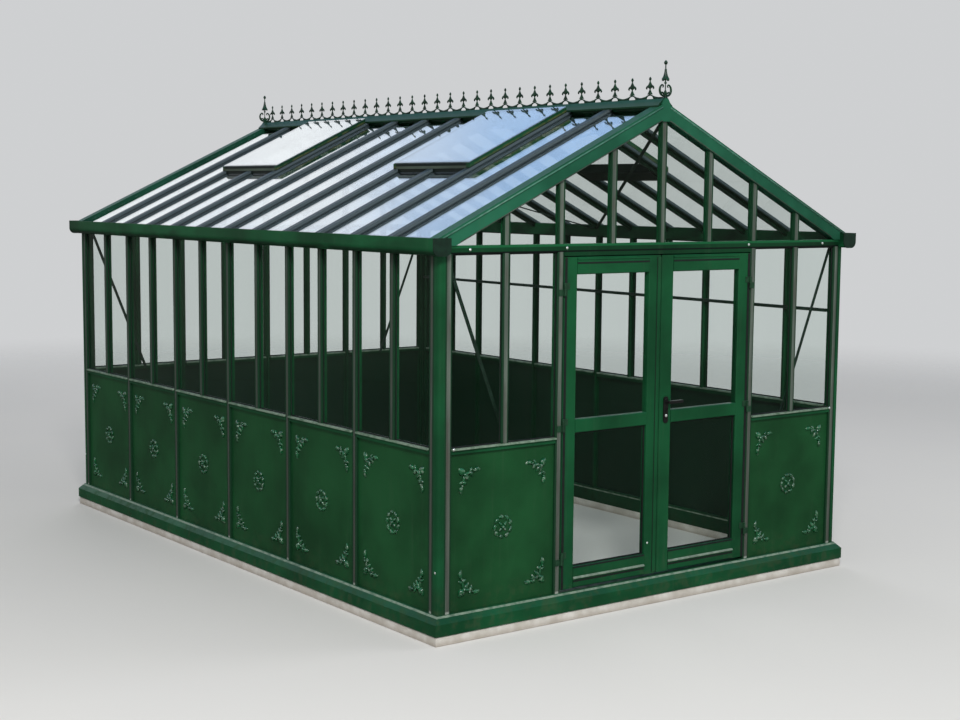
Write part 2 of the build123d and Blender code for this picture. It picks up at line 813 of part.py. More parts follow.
door_outer_edge = jamb_inner - door_edge_gap
door_inner_edge = door_meeting_gap / 2
door_foot_height = base_top + door_foot_gap
door_top_height = eave_height - door_head_height - door_head_gap
lower_pane_foot = door_foot_height + bottom_rail_height
mid_rail_foot = lower_pane_foot + lower_pane_height
mid_rail_top = mid_rail_foot + mid_rail_height
leaf_pane_start = door_inner_edge + stile_width
leaf_pane_end = door_outer_edge - stile_width
rail_levels = (
    (door_foot_height, lower_pane_foot),
    (mid_rail_foot, mid_rail_top),
    (door_top_height - top_rail_height, door_top_height),
)


def leaf_sketch_plane(depth):
    """Upright plane across the doorway, a depth behind the doors' outer face."""
    return Plane.XZ.offset(half_length - depth)


def draw_leaf_block(side, start, end, low, high):
    """Upright rectangle of a door between two distances from the doorway's middle and two heights."""
    with Locations((side * (start + end) / 2, (low + high) / 2)):
        Rectangle(end - start, high - low)


def make_leaf(side, hand):
    """Stiles, rails and panes of one door leaf, on the side -1 or +1 of the doorway."""
    with BuildPart() as stiles:
        with BuildSketch(leaf_sketch_plane(door_thickness)):
            for start, end in ((door_inner_edge, leaf_pane_start), (leaf_pane_end, door_outer_edge)):
                draw_leaf_block(side, start, end, door_foot_height, door_top_height)
        extrude(amount=door_thickness)
        outer_edges = stiles.faces().filter_by(Axis.Y).group_by(Axis.Y)[0].edges().filter_by(Axis.Z)
        chamfer(outer_edges, door_edge_chamfer)
    stiles.part.label = "door_" + hand + "_stiles"
    with BuildPart() as rails:
        with BuildSketch(leaf_sketch_plane(door_thickness)):
            for low, high in rail_levels:
                draw_leaf_block(side, leaf_pane_start, leaf_pane_end, low, high)
        extrude(amount=door_thickness)
        outer_edges = rails.faces().filter_by(Axis.Y).group_by(Axis.Y)[0].edges().filter_by(Axis.X)
        chamfer(outer_edges, door_edge_chamfer)
    rails.part.label = "door_" + hand + "_rails"
    with BuildPart() as panes:
        pane_depth = (door_thickness + glass_thickness) / 2
        with BuildSketch(leaf_sketch_plane(pane_depth)):
            for below, above in zip(rail_levels[:-1], rail_levels[1:]):
                draw_leaf_block(side, leaf_pane_start, leaf_pane_end, below[1], above[0])
        extrude(amount=glass_thickness)
    panes.part.label = "door_" + hand + "_glass"
    return [stiles, rails, panes]


leaf_parts = make_leaf(-1, "left") + make_leaf(1, "right")

hinge_axis_x = jamb_inner - door_edge_gap / 2
hinge_axis_y = -half_length - hinge_standoff
hinge_heights = (
    door_foot_height + hinge_end_inset,
    (door_foot_height + door_top_height) / 2,
    door_top_height - hinge_end_inset,
)


def draw_hinge_section(side, towards):
    """Knuckle and plate of one hinge part in plan: the plate lies on the jamb (+1) or the stile (-1)."""
    with Locations((side * hinge_axis_x, hinge_axis_y)):
        Circle(hinge_knuckle_radius)
    near = hinge_axis_x + towards * door_edge_gap / 2
    far = near + towards * hinge_plate_width
    with Locations((side * (near + far) / 2, -half_length)):
        Rectangle(hinge_plate_width, hinge_plate_thickness, align=(Align.CENTER, Align.MAX))


def make_hinges(sides, towards, name):
    """Three hinge halves to a leaf: those on the jambs are below, those on the stiles above."""
    with BuildPart() as hinges:
        for middle in hinge_heights:
            foot = middle + hinge_knuckle_gap / 2
            if towards > 0:
                foot = middle - hinge_knuckle_gap / 2 - hinge_knuckle_length
            with BuildSketch(Plane.XY.offset(foot)):
                for side in sides:
                    draw_hinge_section(side, towards)
            extrude(amount=hinge_knuckle_length)
    hinges.part.label = name
    return hinges


hinge_parts = [
    make_hinges((-1, 1), 1, "jamb_hinges"),
    make_hinges((-1,), -1, "door_left_hinges"),
    make_hinges((1,), -1, "door_right_hinges"),
]

with BuildPart() as door_handle:
    handle_x = door_inner_edge + stile_width / 2
    handle_height = mid_rail_top + handle_rise
    for face_y, outward in ((-half_length, 1), (-half_length + door_thickness, -1)):
        with BuildSketch(Plane.XZ.offset(-face_y)) as rose:
            with Locations((handle_x, handle_height - rose_drop)):
                Rectangle(rose_width, rose_length)
            chamfer(rose.vertices(), rose_corner_chamfer)
        extrude(amount=outward * rose_thickness)
        with BuildSketch(Plane.XZ.offset(-face_y + outward * rose_thickness)):
            with Locations((handle_x, handle_height)):
                Circle(lever_neck_radius)
        extrude(amount=outward * lever_neck_length)
        lever_standoff = rose_thickness + lever_neck_length - lever_width / 2
        with BuildSketch(Plane.XZ.offset(-face_y + outward * lever_standoff)) as lever:
            with Locations((handle_x - lever_neck_radius + lever_length / 2, handle_height)):
                Rectangle(lever_length, lever_width)
            chamfer(lever.vertices(), lever_corner_chamfer)
        extrude(amount=outward * lever_width)
door_handle.part.label = "door_handle"

pieces = [
    foundation_kerb,
    base_frame,
    corner_posts,
    *wall_bars,
    *wall_caps,
    lower_panels_sides,
    lower_panels_ends,
    sill_rails,
    *wall_glass,
    eave_gutter_left,
    eave_gutter_right,
    gutter_end_caps,
    tie_beams,
    rake_rafters,
    gable_bars,
    gable_caps,
    gable_glass,
    roof_bars_left,
    roof_bars_right,
    roof_glass_left,
    roof_glass_right,
    vent_headers,
    vent_stiles,
    vent_rails,
    vent_glass,
    ridge_beam,
    gable_apex_plates,
    ridge_cresting,
    ridge_finials,
    wind_braces,
    roof_braces,
    side_wall_rail,
    door_jambs,
    door_head,
    *leaf_parts,
    *hinge_parts,
    door_handle,
]

os.makedirs("parts", exist_ok=True)
for piece in pieces:
    export_step(piece.part, "parts/" + piece.part.label + ".step")
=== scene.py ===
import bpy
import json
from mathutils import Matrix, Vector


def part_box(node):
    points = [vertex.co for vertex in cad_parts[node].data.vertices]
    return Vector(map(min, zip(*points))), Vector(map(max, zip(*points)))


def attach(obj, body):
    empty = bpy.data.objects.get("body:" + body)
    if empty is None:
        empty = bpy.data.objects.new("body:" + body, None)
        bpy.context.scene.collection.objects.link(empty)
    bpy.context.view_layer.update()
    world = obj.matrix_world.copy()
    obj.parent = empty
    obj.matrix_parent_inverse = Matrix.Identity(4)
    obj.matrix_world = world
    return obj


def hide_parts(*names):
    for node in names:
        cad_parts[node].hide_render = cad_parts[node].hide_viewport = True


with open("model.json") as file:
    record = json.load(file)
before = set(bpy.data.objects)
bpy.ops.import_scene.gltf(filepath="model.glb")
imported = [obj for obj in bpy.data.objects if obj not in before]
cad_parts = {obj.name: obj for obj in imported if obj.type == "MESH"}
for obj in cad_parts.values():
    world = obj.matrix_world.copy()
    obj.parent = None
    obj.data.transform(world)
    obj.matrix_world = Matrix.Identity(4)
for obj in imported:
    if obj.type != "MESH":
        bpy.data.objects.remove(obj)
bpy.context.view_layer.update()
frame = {"nodes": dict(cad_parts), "record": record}

import json
from math import cos, pi, radians, sin

import bmesh
import bpy
import numpy as np
from bpy.props import FloatProperty, FloatVectorProperty, IntProperty, PointerProperty
from bpy.types import Operator, Panel, PropertyGroup
from mathutils import Matrix, Vector

bl_info = {
    "name": "Glass Greenhouse Finishes",
    "version": (1, 0, 0),
    "blender": (4, 5, 0),
    "location": "View3D > Sidebar > Greenhouse",
    "description": "Paint, glass, castings and fixings of a glass greenhouse, with its stage and camera",
    "category": "Object",
}

SIDE_PANES = 12
END_PANES = 8
PANES_PER_PANEL = 2
PANE_EDGE = 0.009            # from a pane's or panel's edge to the middle of its bar
ROOF_SLOPE = 0.4759          # tangent of the roof's pitch
DOOR_LINES = (2, 6)          # bar lines of the front at which the doorway starts and ends
CORNERS = ((-1, -1), (1, -1), (1, 1), (-1, 1))
UP = np.array([0.0, 0.0, 1.0])

# Where the X, Y and Z of a drawn shape point to once it is set in place
AS_DRAWN = ((1, 0, 0), (0, 1, 0), (0, 0, 1))
ALONG_RIDGE = ((0, 1, 0), (1, 0, 0), (0, 0, 1))
FACING_FRONT = ((1, 0, 0), (0, 0, 1), (0, -1, 0))
FACING_BACK = ((-1, 0, 0), (0, 0, 1), (0, 1, 0))

# Section of a pane's gasket: share of its width, and height
GASKET = ((0.0, 0.0), (1.0, 0.0), (0.85, 0.0022), (0.1, 0.0026))

# Bolt covers; a size is a radius and a height
SUNK = 0.0005                # how deep a cover is let into its face
POST_BOLT_SIZE = (0.007, 0.0025)
LEAF_BOLT_SIZE = (0.0065, 0.0025)
BEAM_BOLTS = (-1.33, -0.69, 0.69, 1.33)  # distances from a tie beam's middle
SILL_BOLT_DROP = 0.003       # from the sill's top to the middle of its covers
SILL_NOSE = 0.024            # from a panel's face to the front of the sill's nose
POST_BOLT_RISE = 0.22        # from the panels' foot
LEAF_BOLT = (-0.065, 0.18)   # from the corner of a leaf at its meeting line, across and up

# Castings, rakes and lock; a section is a list of radius and height
CASTING_SIDES = 10           # points round the section of a flat casting
CLIP_SECTION = ((0.0, 0.0), (0.011, 0.0), (0.0115, 0.004), (0.009, 0.008), (0.0, 0.010))
BEAD_DROP = 0.014            # from a rake's upper edge to the middle of its bead
RAKE_BEAD = (0.007, 0.0045)  # half widths, level and square to that, as for the line
RAKE_LINE = (0.0035, 0.0025)
RAKE_LINE_RISE = 0.004       # from a rake's lower edge to the middle of its line
ROSE_DEPTH = 0.006           # thickness of the handle's rose
CYLINDER_SECTION = ((0.0, 0.0), (0.0085, 0.0), (0.0085, 0.0035), (0.007, 0.0045), (0.0, 0.0045))
CYLINDER_RISE = 0.042        # from the rose's foot, as for the screws
SCREW_RISES = (0.014, 0.136)
SCREW_SIZE = (0.004, 0.002)

# Strips on the doors: their sections, as depth in front of the rails and height, and their distances
DRIP = ((0.001, 0.010), (-0.006, 0.004), (-0.008, 0.0), (-0.006, -0.003), (0.001, -0.003))
BEAD = ((0.001, 0.005), (-0.004, 0.003), (-0.004, -0.003), (0.001, -0.005))
# Black line strips that stand for shade under the beads and drips and along the middle rail's top
SHADE_LINE_SECTION = ((0.001, 0.005), (-0.0015, 0.004), (-0.0015, -0.004), (0.001, -0.005))
SHADE_LINE_DROPS = (0.021, 0.006, 0.016)     # below the bead, the middle rail's top and the drip
STRIP_RELIEF = 0.0015        # thickness of the flat black strips of painted shade
HINGE_SHADE_HALF = 0.008            # half width of a hinge's black strip of painted shade
HINGE_SHADE_INSET = 0.009           # from a leaf's hinged edge to the middle of its black strip
HINGE_SHADE_GAP = 0.002             # from a leaf's foot or top to the ends of its black strip
MEETING_GAP = 0.01           # from a leaf's foot or top to the ends of the meeting strip
MEETING_RELIEF = 0.006       # height of the meeting strip above the leaf
MEETING_LINE = (0.003, 0.002)            # distance from the meeting strip, and half width, of the black line of painted shade beside it
STOP_DEPTHS = (0.006, 0.018)             # where the door stop starts and ends behind the leaves
STOP_OVERLAP = 0.014         # how far the door stop hangs below the leaves' top
FLOOR_LEVEL = -0.002         # of the studio's floor, just below the kerb's foot


def node_box(name):
    """Lowest and highest corner of a node as arrays, in metres."""
    low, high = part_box(name)
    return np.array(low), np.array(high)


SIDE_PANEL_LOW, SIDE_PANEL_HIGH = node_box("lower_panels_sides")
END_PANEL_LOW, END_PANEL_HIGH = node_box("lower_panels_ends")
SIDE_PITCH = (SIDE_PANEL_HIGH[1] - SIDE_PANEL_LOW[1] + 2 * PANE_EDGE) / SIDE_PANES
END_PITCH = (END_PANEL_HIGH[0] - END_PANEL_LOW[0] + 2 * PANE_EDGE) / END_PANES
PANEL_FOOT = END_PANEL_LOW[2]
PANEL_TOP = END_PANEL_HIGH[2]
SILL_TOP = node_box("sill_rails")[1][2]
EAVE = node_box("wall_glass_left")[1][2]


def wall_facing(out, along, panel_reach, pitch, panes):
    """Directions of a wall, how far out its panels lie, and its panes."""
    return {"out": np.array(out, float), "along": np.array(along, float), "panel_reach": panel_reach,
            "pitch": pitch, "panes": panes}


END_WALL = (END_PANEL_HIGH[1], END_PITCH, END_PANES)
SIDE_WALL = (SIDE_PANEL_HIGH[0], SIDE_PITCH, SIDE_PANES)
WALLS = {
    "front": wall_facing((0, -1, 0), (1, 0, 0), *END_WALL),
    "right": wall_facing((1, 0, 0), (0, 1, 0), *SIDE_WALL),
    "back": wall_facing((0, 1, 0), (-1, 0, 0), *END_WALL),
    "left": wall_facing((-1, 0, 0), (0, -1, 0), *SIDE_WALL),
}


def line_place(wall, line):
    """Distance of a bar line from the wall's middle, along the wall."""
    return (line - wall["panes"] / 2) * wall["pitch"]


def panel_bays(name):
    """Pairs of bar lines at the ends of a wall's lower panels, without the doorway's."""
    wall = WALLS[name]
    pairs = [(line, line + PANES_PER_PANEL) for line in range(0, wall["panes"], PANES_PER_PANEL)]
    if name == "front":
        pairs = [pair for pair in pairs if pair[1] <= DOOR_LINES[0] or pair[0] >= DOOR_LINES[1]]
    return pairs


def vertices_of(name):
    """All corner points of a node, in metres."""
    mesh = frame["nodes"][name].data
    points = np.empty(3 * len(mesh.vertices))
    mesh.vertices.foreach_get("co", points)
    return points.reshape(-1, 3)


def slope_levels(name):
    """Lowest and highest level of a node's corners, each carried up the roof slope to the middle."""
    points = vertices_of(name)
    levels = points[:, 2] + ROOF_SLOPE * np.abs(points[:, 0])
    return levels.min(), levels.max()


class FinishSettings(PropertyGroup):
    """Colours and roughness of the paints and the glass."""

    frame_green: FloatVectorProperty(
        name="Frame green", description="Paint of bars, posts and rails", subtype="COLOR",
        default=(0.005, 0.066, 0.023), min=0.0, max=1.0)
    panel_green: FloatVectorProperty(
        name="Panel green", description="Paint of the sheet panels", subtype="COLOR",
        default=(0.008, 0.061, 0.019), min=0.0, max=1.0)
    # Pale colour of lines on noses and edges, partly wear and partly painted highlight, and of the glints
    # painted on the castings
    worn_edge_and_glint: FloatVectorProperty(
        name="Worn edge", description="Dulled paint along noses and upper edges", subtype="COLOR",
        default=(0.2, 0.27, 0.21), min=0.0, max=1.0)
    roof_slate: FloatVectorProperty(
        name="Roof slate", description="Sun-dulled paint on what faces the sky", subtype="COLOR",
        default=(0.02, 0.034, 0.036), min=0.0, max=1.0)
    cap_grey: FloatVectorProperty(
        name="Cap grey", description="Weathered finish of the glazing caps", subtype="COLOR",
        default=(0.09, 0.115, 0.095), min=0.0, max=1.0)
    roof_sky: FloatVectorProperty(
        name="Roof glass tint", description="Tint of what the roof panes mirror", subtype="COLOR",
        default=(0.95, 0.98, 1.0), min=0.0, max=1.0)
    paint_roughness: FloatProperty(
        name="Paint roughness", description="Roughness of clean paint", default=0.32, min=0.0, max=1.0,
        subtype="FACTOR")
    splash_height: FloatProperty(
        name="Splash height", description="Height up to which soil has splashed", default=0.34, min=0.0,
        unit="LENGTH")


class OrnamentSettings(PropertyGroup):
    """Sizes of the castings on the panels."""

    spray_inset: FloatProperty(
        name="Spray inset", description="From a bar line to the corner of a spray", default=0.07,
        unit="LENGTH")
    spray_lift: FloatProperty(
        name="Spray lift", description="From a panel's foot or top to the corner of a spray", default=0.068,
        unit="LENGTH")
    spray_reach: FloatProperty(
        name="Spray reach", description="Length of a spray along each edge", default=0.145, unit="LENGTH")
    leaf_width: FloatProperty(
        name="Leaf width", description="Width of the widest leaf", default=0.044, unit="LENGTH")
    relief: FloatProperty(
        name="Relief", description="Height of the leaves above the panel", default=0.012, unit="LENGTH")
    rosette_radius: FloatProperty(
        name="Rosette radius", description="Reach of the rosette's wreath", default=0.064, unit="LENGTH")
    rosette_leaves: IntProperty(
        name="Rosette leaves", description="Leaves round a rosette", default=9, min=4, max=16)


class CrestingSettings(PropertyGroup):
    """Sizes of the castings on the ridge."""

    fleuron_pitch: FloatProperty(
        name="Fleuron pitch", description="From one fleuron to the next", default=0.1461, unit="LENGTH")
    fleuron_count: IntProperty(
        name="Fleurons", description="Number of fleurons along the ridge", default=30, min=2, max=60)
    fleuron_height: FloatProperty(
        name="Fleuron height", description="Height above the strip", default=0.098, unit="LENGTH")
    strip_height: FloatProperty(
        name="Strip height", description="Height of the pierced strip over an arch", default=0.026,
        unit="LENGTH")
    arch_half: FloatProperty(
        name="Arch half width", description="Half the width of an arch in the strip", default=0.028,
        unit="LENGTH")
    arch_rise: FloatProperty(
        name="Arch rise", description="Height of an arch in the strip", default=0.019, unit="LENGTH")
    saddle_height: FloatProperty(
        name="Saddle height", description="Height of the strip between two arches", default=0.009,
        unit="LENGTH")
    casting_half: FloatProperty(
        name="Half thickness", description="Half the thickness of the castings", default=0.0035,
        unit="LENGTH")
    collar_width: FloatProperty(
        name="Collar width", description="Width of a finial's foot", default=0.028, unit="LENGTH")


class FixingSettings(PropertyGroup):
    """Sizes and places of the small fixings."""

    cap_width: FloatProperty(
        name="Cap width", description="Width of the glazing caps", default=0.044, unit="LENGTH")
    gasket_width: FloatProperty(
        name="Gasket width", description="Width of the gasket that shows round a pane", default=0.008,
        unit="LENGTH")
    corner_round: FloatProperty(
        name="Corner roundness", description="Power of a corner cover's curve: 1 is round, 0 square",
        default=0.55, min=0.1, max=1.0)
    clip_rise: FloatProperty(
        name="Clip rise", description="From a roof bar's lowest point to its clip", default=0.008,
        unit="LENGTH")
    bolt_radius: FloatProperty(
        name="Bolt cover radius", description="Radius of the bright bolt covers", default=0.008,
        unit="LENGTH")
    bolt_inset: FloatProperty(
        name="Bolt inset", description="From the end bar lines to the bolt covers", default=0.03,
        unit="LENGTH")
    drip_rise: FloatProperty(
        name="Drip rise", description="From a leaf's foot to its drip moulding", default=0.052,
        unit="LENGTH")
    bead_drop: FloatProperty(
        name="Bead drop", description="From a leaf's top to the bead on its top rail", default=0.012,
        unit="LENGTH")
    rose_width: FloatProperty(
        name="Rose width", description="Width of the handle's rose", default=0.034, unit="LENGTH")
    meeting_width: FloatProperty(
        name="Meeting strip width", description="Width of the strip beside the leaves' meeting line",
        default=0.026, unit="LENGTH")
    rake_depth: FloatProperty(
        name="Rake depth", description="Depth of the rakes, square to the slope", default=0.081,
        unit="LENGTH")
    rake_trim: FloatProperty(
        name="Rake line trim", description="Share that the lower line stops short of the eave", default=0.1,
        min=0.0, max=1.0)


class StageSettings(PropertyGroup):
    """Camera, lamps and floor."""

    camera_place: FloatVectorProperty(
        name="Camera place", description="Where the camera stands", subtype="TRANSLATION", unit="LENGTH",
        default=(-6.079, -8.642, 2.304))
    camera_azimuth: FloatProperty(
        name="Camera azimuth", description="Turn of the view from +Y towards +X", default=radians(36.97),
        subtype="ANGLE")
    camera_drop: FloatProperty(
        name="Camera drop", description="Angle of the view below level", default=radians(6.07),
        subtype="ANGLE")
    camera_roll: FloatProperty(
        name="Camera roll", description="Roll of the camera", default=radians(0.50), subtype="ANGLE")
    lens: FloatProperty(
        name="Lens", description="Focal length in millimetres on a 36 mm sensor", default=59.0, min=1.0)
    floor_radius: FloatProperty(
        name="Floor radius", description="Radius of the round floor", default=16.0, unit="LENGTH")
    floor_shade: FloatProperty(
        name="Floor shade", description="Brightness of the floor", default=0.78, min=0.0, max=1.0,
        subtype="FACTOR")
    backdrop: FloatVectorProperty(
        name="Backdrop", description="Colour of the backdrop", subtype="COLOR", default=(0.62, 0.63, 0.64),
        min=0.0, max=1.0)
    mirrored_ground: FloatVectorProperty(
        name="Mirrored ground", description="What gloss mirrors at and below the horizon", subtype="COLOR",
        default=(0.13, 0.14, 0.12), min=0.0, max=1.0)
    horizon: FloatVectorProperty(
        name="Low sky", description="What panes mirror low in the sky", subtype="COLOR",
        default=(0.93, 0.95, 0.97), min=0.0, max=1.0)
    zenith: FloatVectorProperty(
        name="High sky", description="What panes mirror higher up", subtype="COLOR",
        default=(0.34, 0.55, 0.88), min=0.0, max=1.0)
    soft_colour: FloatVectorProperty(
        name="Soft light colour", description="Colour of the light from all round", subtype="COLOR",
        default=(0.95, 0.97, 1.0), min=0.0, max=1.0)
    soft_light: FloatProperty(
        name="Soft light", description="Strength of the light from all round", default=0.36, min=0.0)
    key_power: FloatProperty(
        name="Key power", description="Power of the main lamp in watts", default=1350.0, min=0.0)
    fill_power: FloatProperty(
        name="Fill power", description="Power of each other lamp in watts", default=200.0, min=0.0)


class Signal:
    """A socket of a node graph; an operator on it adds the node that works the result out."""

    def __init__(self, graph, socket):
        self.graph = graph
        self.socket = socket

    def __add__(self, other):
        return self.graph.math("ADD", self, other)

    def __sub__(self, other):
        return self.graph.math("SUBTRACT", self, other)

    def __rsub__(self, other):
        return self.graph.math("SUBTRACT", other, self)

    def __mul__(self, other):
        return self.graph.math("MULTIPLY", self, other)

    def __truediv__(self, other):
        return self.graph.math("DIVIDE", self, other)

    __radd__ = __add__
    __rmul__ = __mul__

    def clamped(self):
        return self.graph.math("ADD", self, 0.0, clamp=True)

    def rise(self, start, end):
        """0 below start, 1 above end, and smooth between."""
        values = {"Value": self, "From Min": start, "From Max": end}
        return self.graph.node("ShaderNodeMapRange", {"interpolation_type": "SMOOTHSTEP"}, values)

    def fall(self, start, end):
        """1 below start, 0 above end, and smooth between."""
        return 1.0 - self.rise(start, end)


class NodeGraph:
    """The node tree of a material or a world, with signals between its nodes."""

    def __init__(self, owner):
        owner.use_nodes = True
        self.tree = owner.node_tree
        self.tree.nodes.clear()

    def node(self, kind, settings=None, values=None, output=0):
        """Adds a node with its settings and then its inputs, and returns one output as a signal."""
        node = self.tree.nodes.new(kind)
        for name, value in (settings or {}).items():
            setattr(node, name, value)
        for name, value in (values or {}).items():
            self.feed(node.inputs[name], value)
        return Signal(self, node.outputs[output])

    def feed(self, socket, value):
        """Links a signal to a socket, or sets the socket's own value."""
        if isinstance(value, Signal):
            self.tree.links.new(value.socket, socket)
        elif hasattr(value, "__len__") and socket.type == "RGBA":
            socket.default_value = (*value[:3], 1.0)
        else:
            socket.default_value = value

    def math(self, operation, *operands, clamp=False):
        settings = {"operation": operation, "use_clamp": clamp}
        return self.node("ShaderNodeMath", settings, dict(enumerate(operands)))

    def split(self, vector):
        """The three parts of a vector as signals."""
        node = self.tree.nodes.new("ShaderNodeSeparateXYZ")
        self.feed(node.inputs[0], vector)
        return [Signal(self, output) for output in node.outputs]

    def mix(self, share, first, second):
        """Colour from first to second as share goes from 0 to 1."""
        settings = {"data_type": "RGBA", "blend_type": "MIX"}
        return self.node("ShaderNodeMix", settings, {0: share, 6: first, 7: second}, output=2)

    def choose(self, share, first, second):
        """Shader from first to second as share goes from 0 to 1."""
        return self.node("ShaderNodeMixShader", None, {0: share, 1: first, 2: second})


class Finish(NodeGraph):
    """A material made of one shader, with the nodes that feed it."""

    def __init__(self, name):
        self.material = bpy.data.materials.new(name)
        super().__init__(self.material)
        self.shader = self.tree.nodes.new("ShaderNodeBsdfPrincipled")
        self.output = self.tree.nodes.new("ShaderNodeOutputMaterial")
        self.tree.links.new(self.shader.outputs[0], self.output.inputs[0])

    def shade(self, **values):
        """Sets the shader's inputs; an underscore in a name stands for a space."""
        for name, value in values.items():
            self.feed(self.shader.inputs[name.replace("_", " ")], value)

    def coloured(self, colour):
        """Sets the shader's colour and returns the finished material."""
        self.shade(Base_Color=colour)
        return self.material

    def place(self):
        """Object coordinates, in metres."""
        return self.node("ShaderNodeTexCoord", output="Object")

    def axes(self):
        """Object coordinates as three signals."""
        return self.split(self.place())

    def height(self):
        return self.axes()[2]

    def facing_up(self):
        """The surface's own upward lean, from -1 to 1."""
        return self.split(self.node("ShaderNodeNewGeometry", output="Normal"))[2]

    def skyward(self, start=0.55, end=0.85):
        """1 on faces that look at the sky, 0 on upright ones."""
        return self.facing_up().rise(start, end)

    def facing_out(self):
        """1 on faces that look away from the building's middle, 0 on those that look towards it."""
        normal = self.node("ShaderNodeTexCoord", output="Normal")
        values = {0: self.place(), 1: (1.0, 1.0, 0.0)}
        level = self.node("ShaderNodeVectorMath", {"operation": "MULTIPLY"}, values)
        values = {0: normal, 1: level}
        away = self.node("ShaderNodeVectorMath", {"operation": "DOT_PRODUCT"}, values, output="Value")
        return away.rise(-0.1, 0.1)

    def slope_level(self):
        """Height carried up the roof slope to the middle."""
        x, y, z = self.axes()
        return z + ROOF_SLOPE * self.math("ABSOLUTE", x)

    def noise(self, size, stretch=(1.0, 1.0, 1.0), detail=4.0):
        """Cloudy pattern with spots of about the given size, divided by the stretch along each axis."""
        scaled = self.node("ShaderNodeMapping", None, {"Vector": self.place(), "Scale": stretch})
        values = {"Vector": scaled, "Scale": 1.0 / size, "Detail": detail, "Roughness": 0.55}
        return self.node("ShaderNodeTexNoise", {"noise_dimensions": "3D"}, values, output="Fac")

    def bump(self, height, distance, strength=1.0, **normal):
        """Normal of a surface raised by height times distance, in metres, over another Normal if given."""
        values = {"Height": height, "Distance": distance, "Strength": strength, **normal}
        return self.node("ShaderNodeBump", None, values)


def tinted(colour, factor):
    """A colour made darker or paler by a factor."""
    return tuple(min(channel * factor, 1.0) for channel in colour)


SOIL = (0.12, 0.085, 0.05)
DULL_GREEN = (0.06, 0.1, 0.06)
DEEP_SHADE = (0.001, 0.004, 0.003)
FOOT_SHADE = (0.002, 0.006, 0.004)
EDGE_SHADE = (0.002, 0.007, 0.005)
# Near-black green painted as shade on the gutters' upward faces
GUTTER_INSIDE_SHADE = (0.004, 0.009, 0.007)
# Near-black green painted as shade on the panels' inner faces
PANEL_INSIDE_SHADE = (0.005, 0.024, 0.012)
LICHEN = (0.05, 0.055, 0.038)
OLIVE_GROWTH = (0.075, 0.08, 0.028)
RAKE_FACE = (0.016, 0.098, 0.055)
RAKE_TOP_SHADE = (0.016, 0.08, 0.045)
RIDGE_EDGE = (0.034, 0.078, 0.042)
RIDGE_CROWN = (0.012, 0.07, 0.035)
# Roof bars: cap sides painted paler as light, and a line painted as shade at their foot
BAR_SIDE_LIGHT = (0.06, 0.08, 0.088)
BAR_SHADE_LINE = (0.02, 0.03, 0.032)
VENT_RAIL = (0.06, 0.08, 0.062)
CAP_BROWN = (0.06, 0.05, 0.04)
CAP_LOWER = (0.05, 0.05, 0.042)
CAP_FOOT = (0.3, 0.34, 0.3)
KERB_STAINED = (0.5, 0.47, 0.42)
KERB_CLEAN = (0.68, 0.66, 0.62)
KERB_DAMP = (0.3, 0.25, 0.2)
GLASS_CLEAR = (0.955, 0.975, 0.965)
GLASS_TINT = (0.86, 0.93, 0.9)
LINE_BLUR = 0.001            # half the width over which a drawn line's edge fades


def paint(name, colour, settings):
    """Powder paint: clouded colour, faint rain streaks, soil splashed at the foot, and painted shade on
    inward and downward faces.

    Returns the finish, with its fine relief, and its colour, so that a part can add marks of its own.
    """
    finish = Finish(name)
    streaks = finish.noise(0.03, stretch=(1.0, 1.0, 0.05), detail=3.0)
    body = finish.mix(finish.noise(0.5).rise(0.3, 0.7), tinted(colour, 0.7), tinted(colour, 1.3))
    paler_marks = finish.mix(streaks.rise(0.55, 0.8) * 0.14, body, DULL_GREEN)
    splash = finish.height().fall(0.05, settings.splash_height) * finish.noise(0.05).rise(0.45, 0.68)
    soiled = finish.mix(splash * 0.14, paler_marks, SOIL)
    # Painted shade: faces that look towards the building's middle or downwards are darkened halfway to
    # DEEP_SHADE
    inside = 1.0 - finish.facing_out() * finish.facing_up().rise(-0.6, -0.2)
    rough = settings.paint_roughness + 0.14 * streaks + 0.3 * splash
    finish.relief = finish.bump(finish.noise(0.004, detail=2.0), 0.0002, strength=0.3)
    finish.shade(Roughness=rough.clamped(), Specular_IOR_Level=0.17, Coat_Weight=0.04, Coat_Roughness=0.15)
    finish.shade(Normal=finish.relief)
    return finish, finish.mix(inside * 0.5, soiled, DEEP_SHADE)


def build_frame_green(settings):
    """Paint of posts, wall bars and doors."""
    finish, colour = paint("frame_green", settings.frame_green, settings)
    return finish.coloured(colour)


def build_edge_lined(settings, name, low, high):
    """Frame paint with a paler line between two heights, partly wear on a nose and partly a painted
    highlight.
    """
    finish, colour = paint(name, settings.frame_green, settings)
    height = finish.height()
    line = height.rise(low - LINE_BLUR, low + LINE_BLUR) * height.fall(high - LINE_BLUR, high + LINE_BLUR)
    # Partly wear and partly painted highlight: a paler line towards the worn edge colour
    wear_and_glint = line * (0.45 + 0.55 * finish.noise(0.05).rise(0.35, 0.6))
    return finish.coloured(finish.mix(wear_and_glint, colour, settings.worn_edge_and_glint))


def build_sill_green(settings):
    """Paint of the sill, with a paler line along its nose, partly wear and partly painted highlight."""
    return build_edge_lined(settings, "sill_green", SILL_TOP - 0.009, SILL_TOP + 0.01)


def build_base_green(settings):
    """Paint of the base, with a paler line along its upper edge, partly wear and partly painted highlight.
    """
    return build_edge_lined(settings, "base_green", PANEL_FOOT - 0.012, PANEL_FOOT - 0.003)


def build_rake_green(settings):
    """Greyer green of the rakes, with painted shade making them a little darker on top."""
    finish, colour = paint("rake_green", RAKE_FACE, settings)
    finish.shade(Specular_IOR_Level=0.06, Coat_Weight=0.0)
    # Painted shade: faces that look at the sky are made a little darker
    upper = finish.skyward() * (0.6 + 0.4 * finish.noise(0.15))
    return finish.coloured(finish.mix(upper, colour, RAKE_TOP_SHADE))


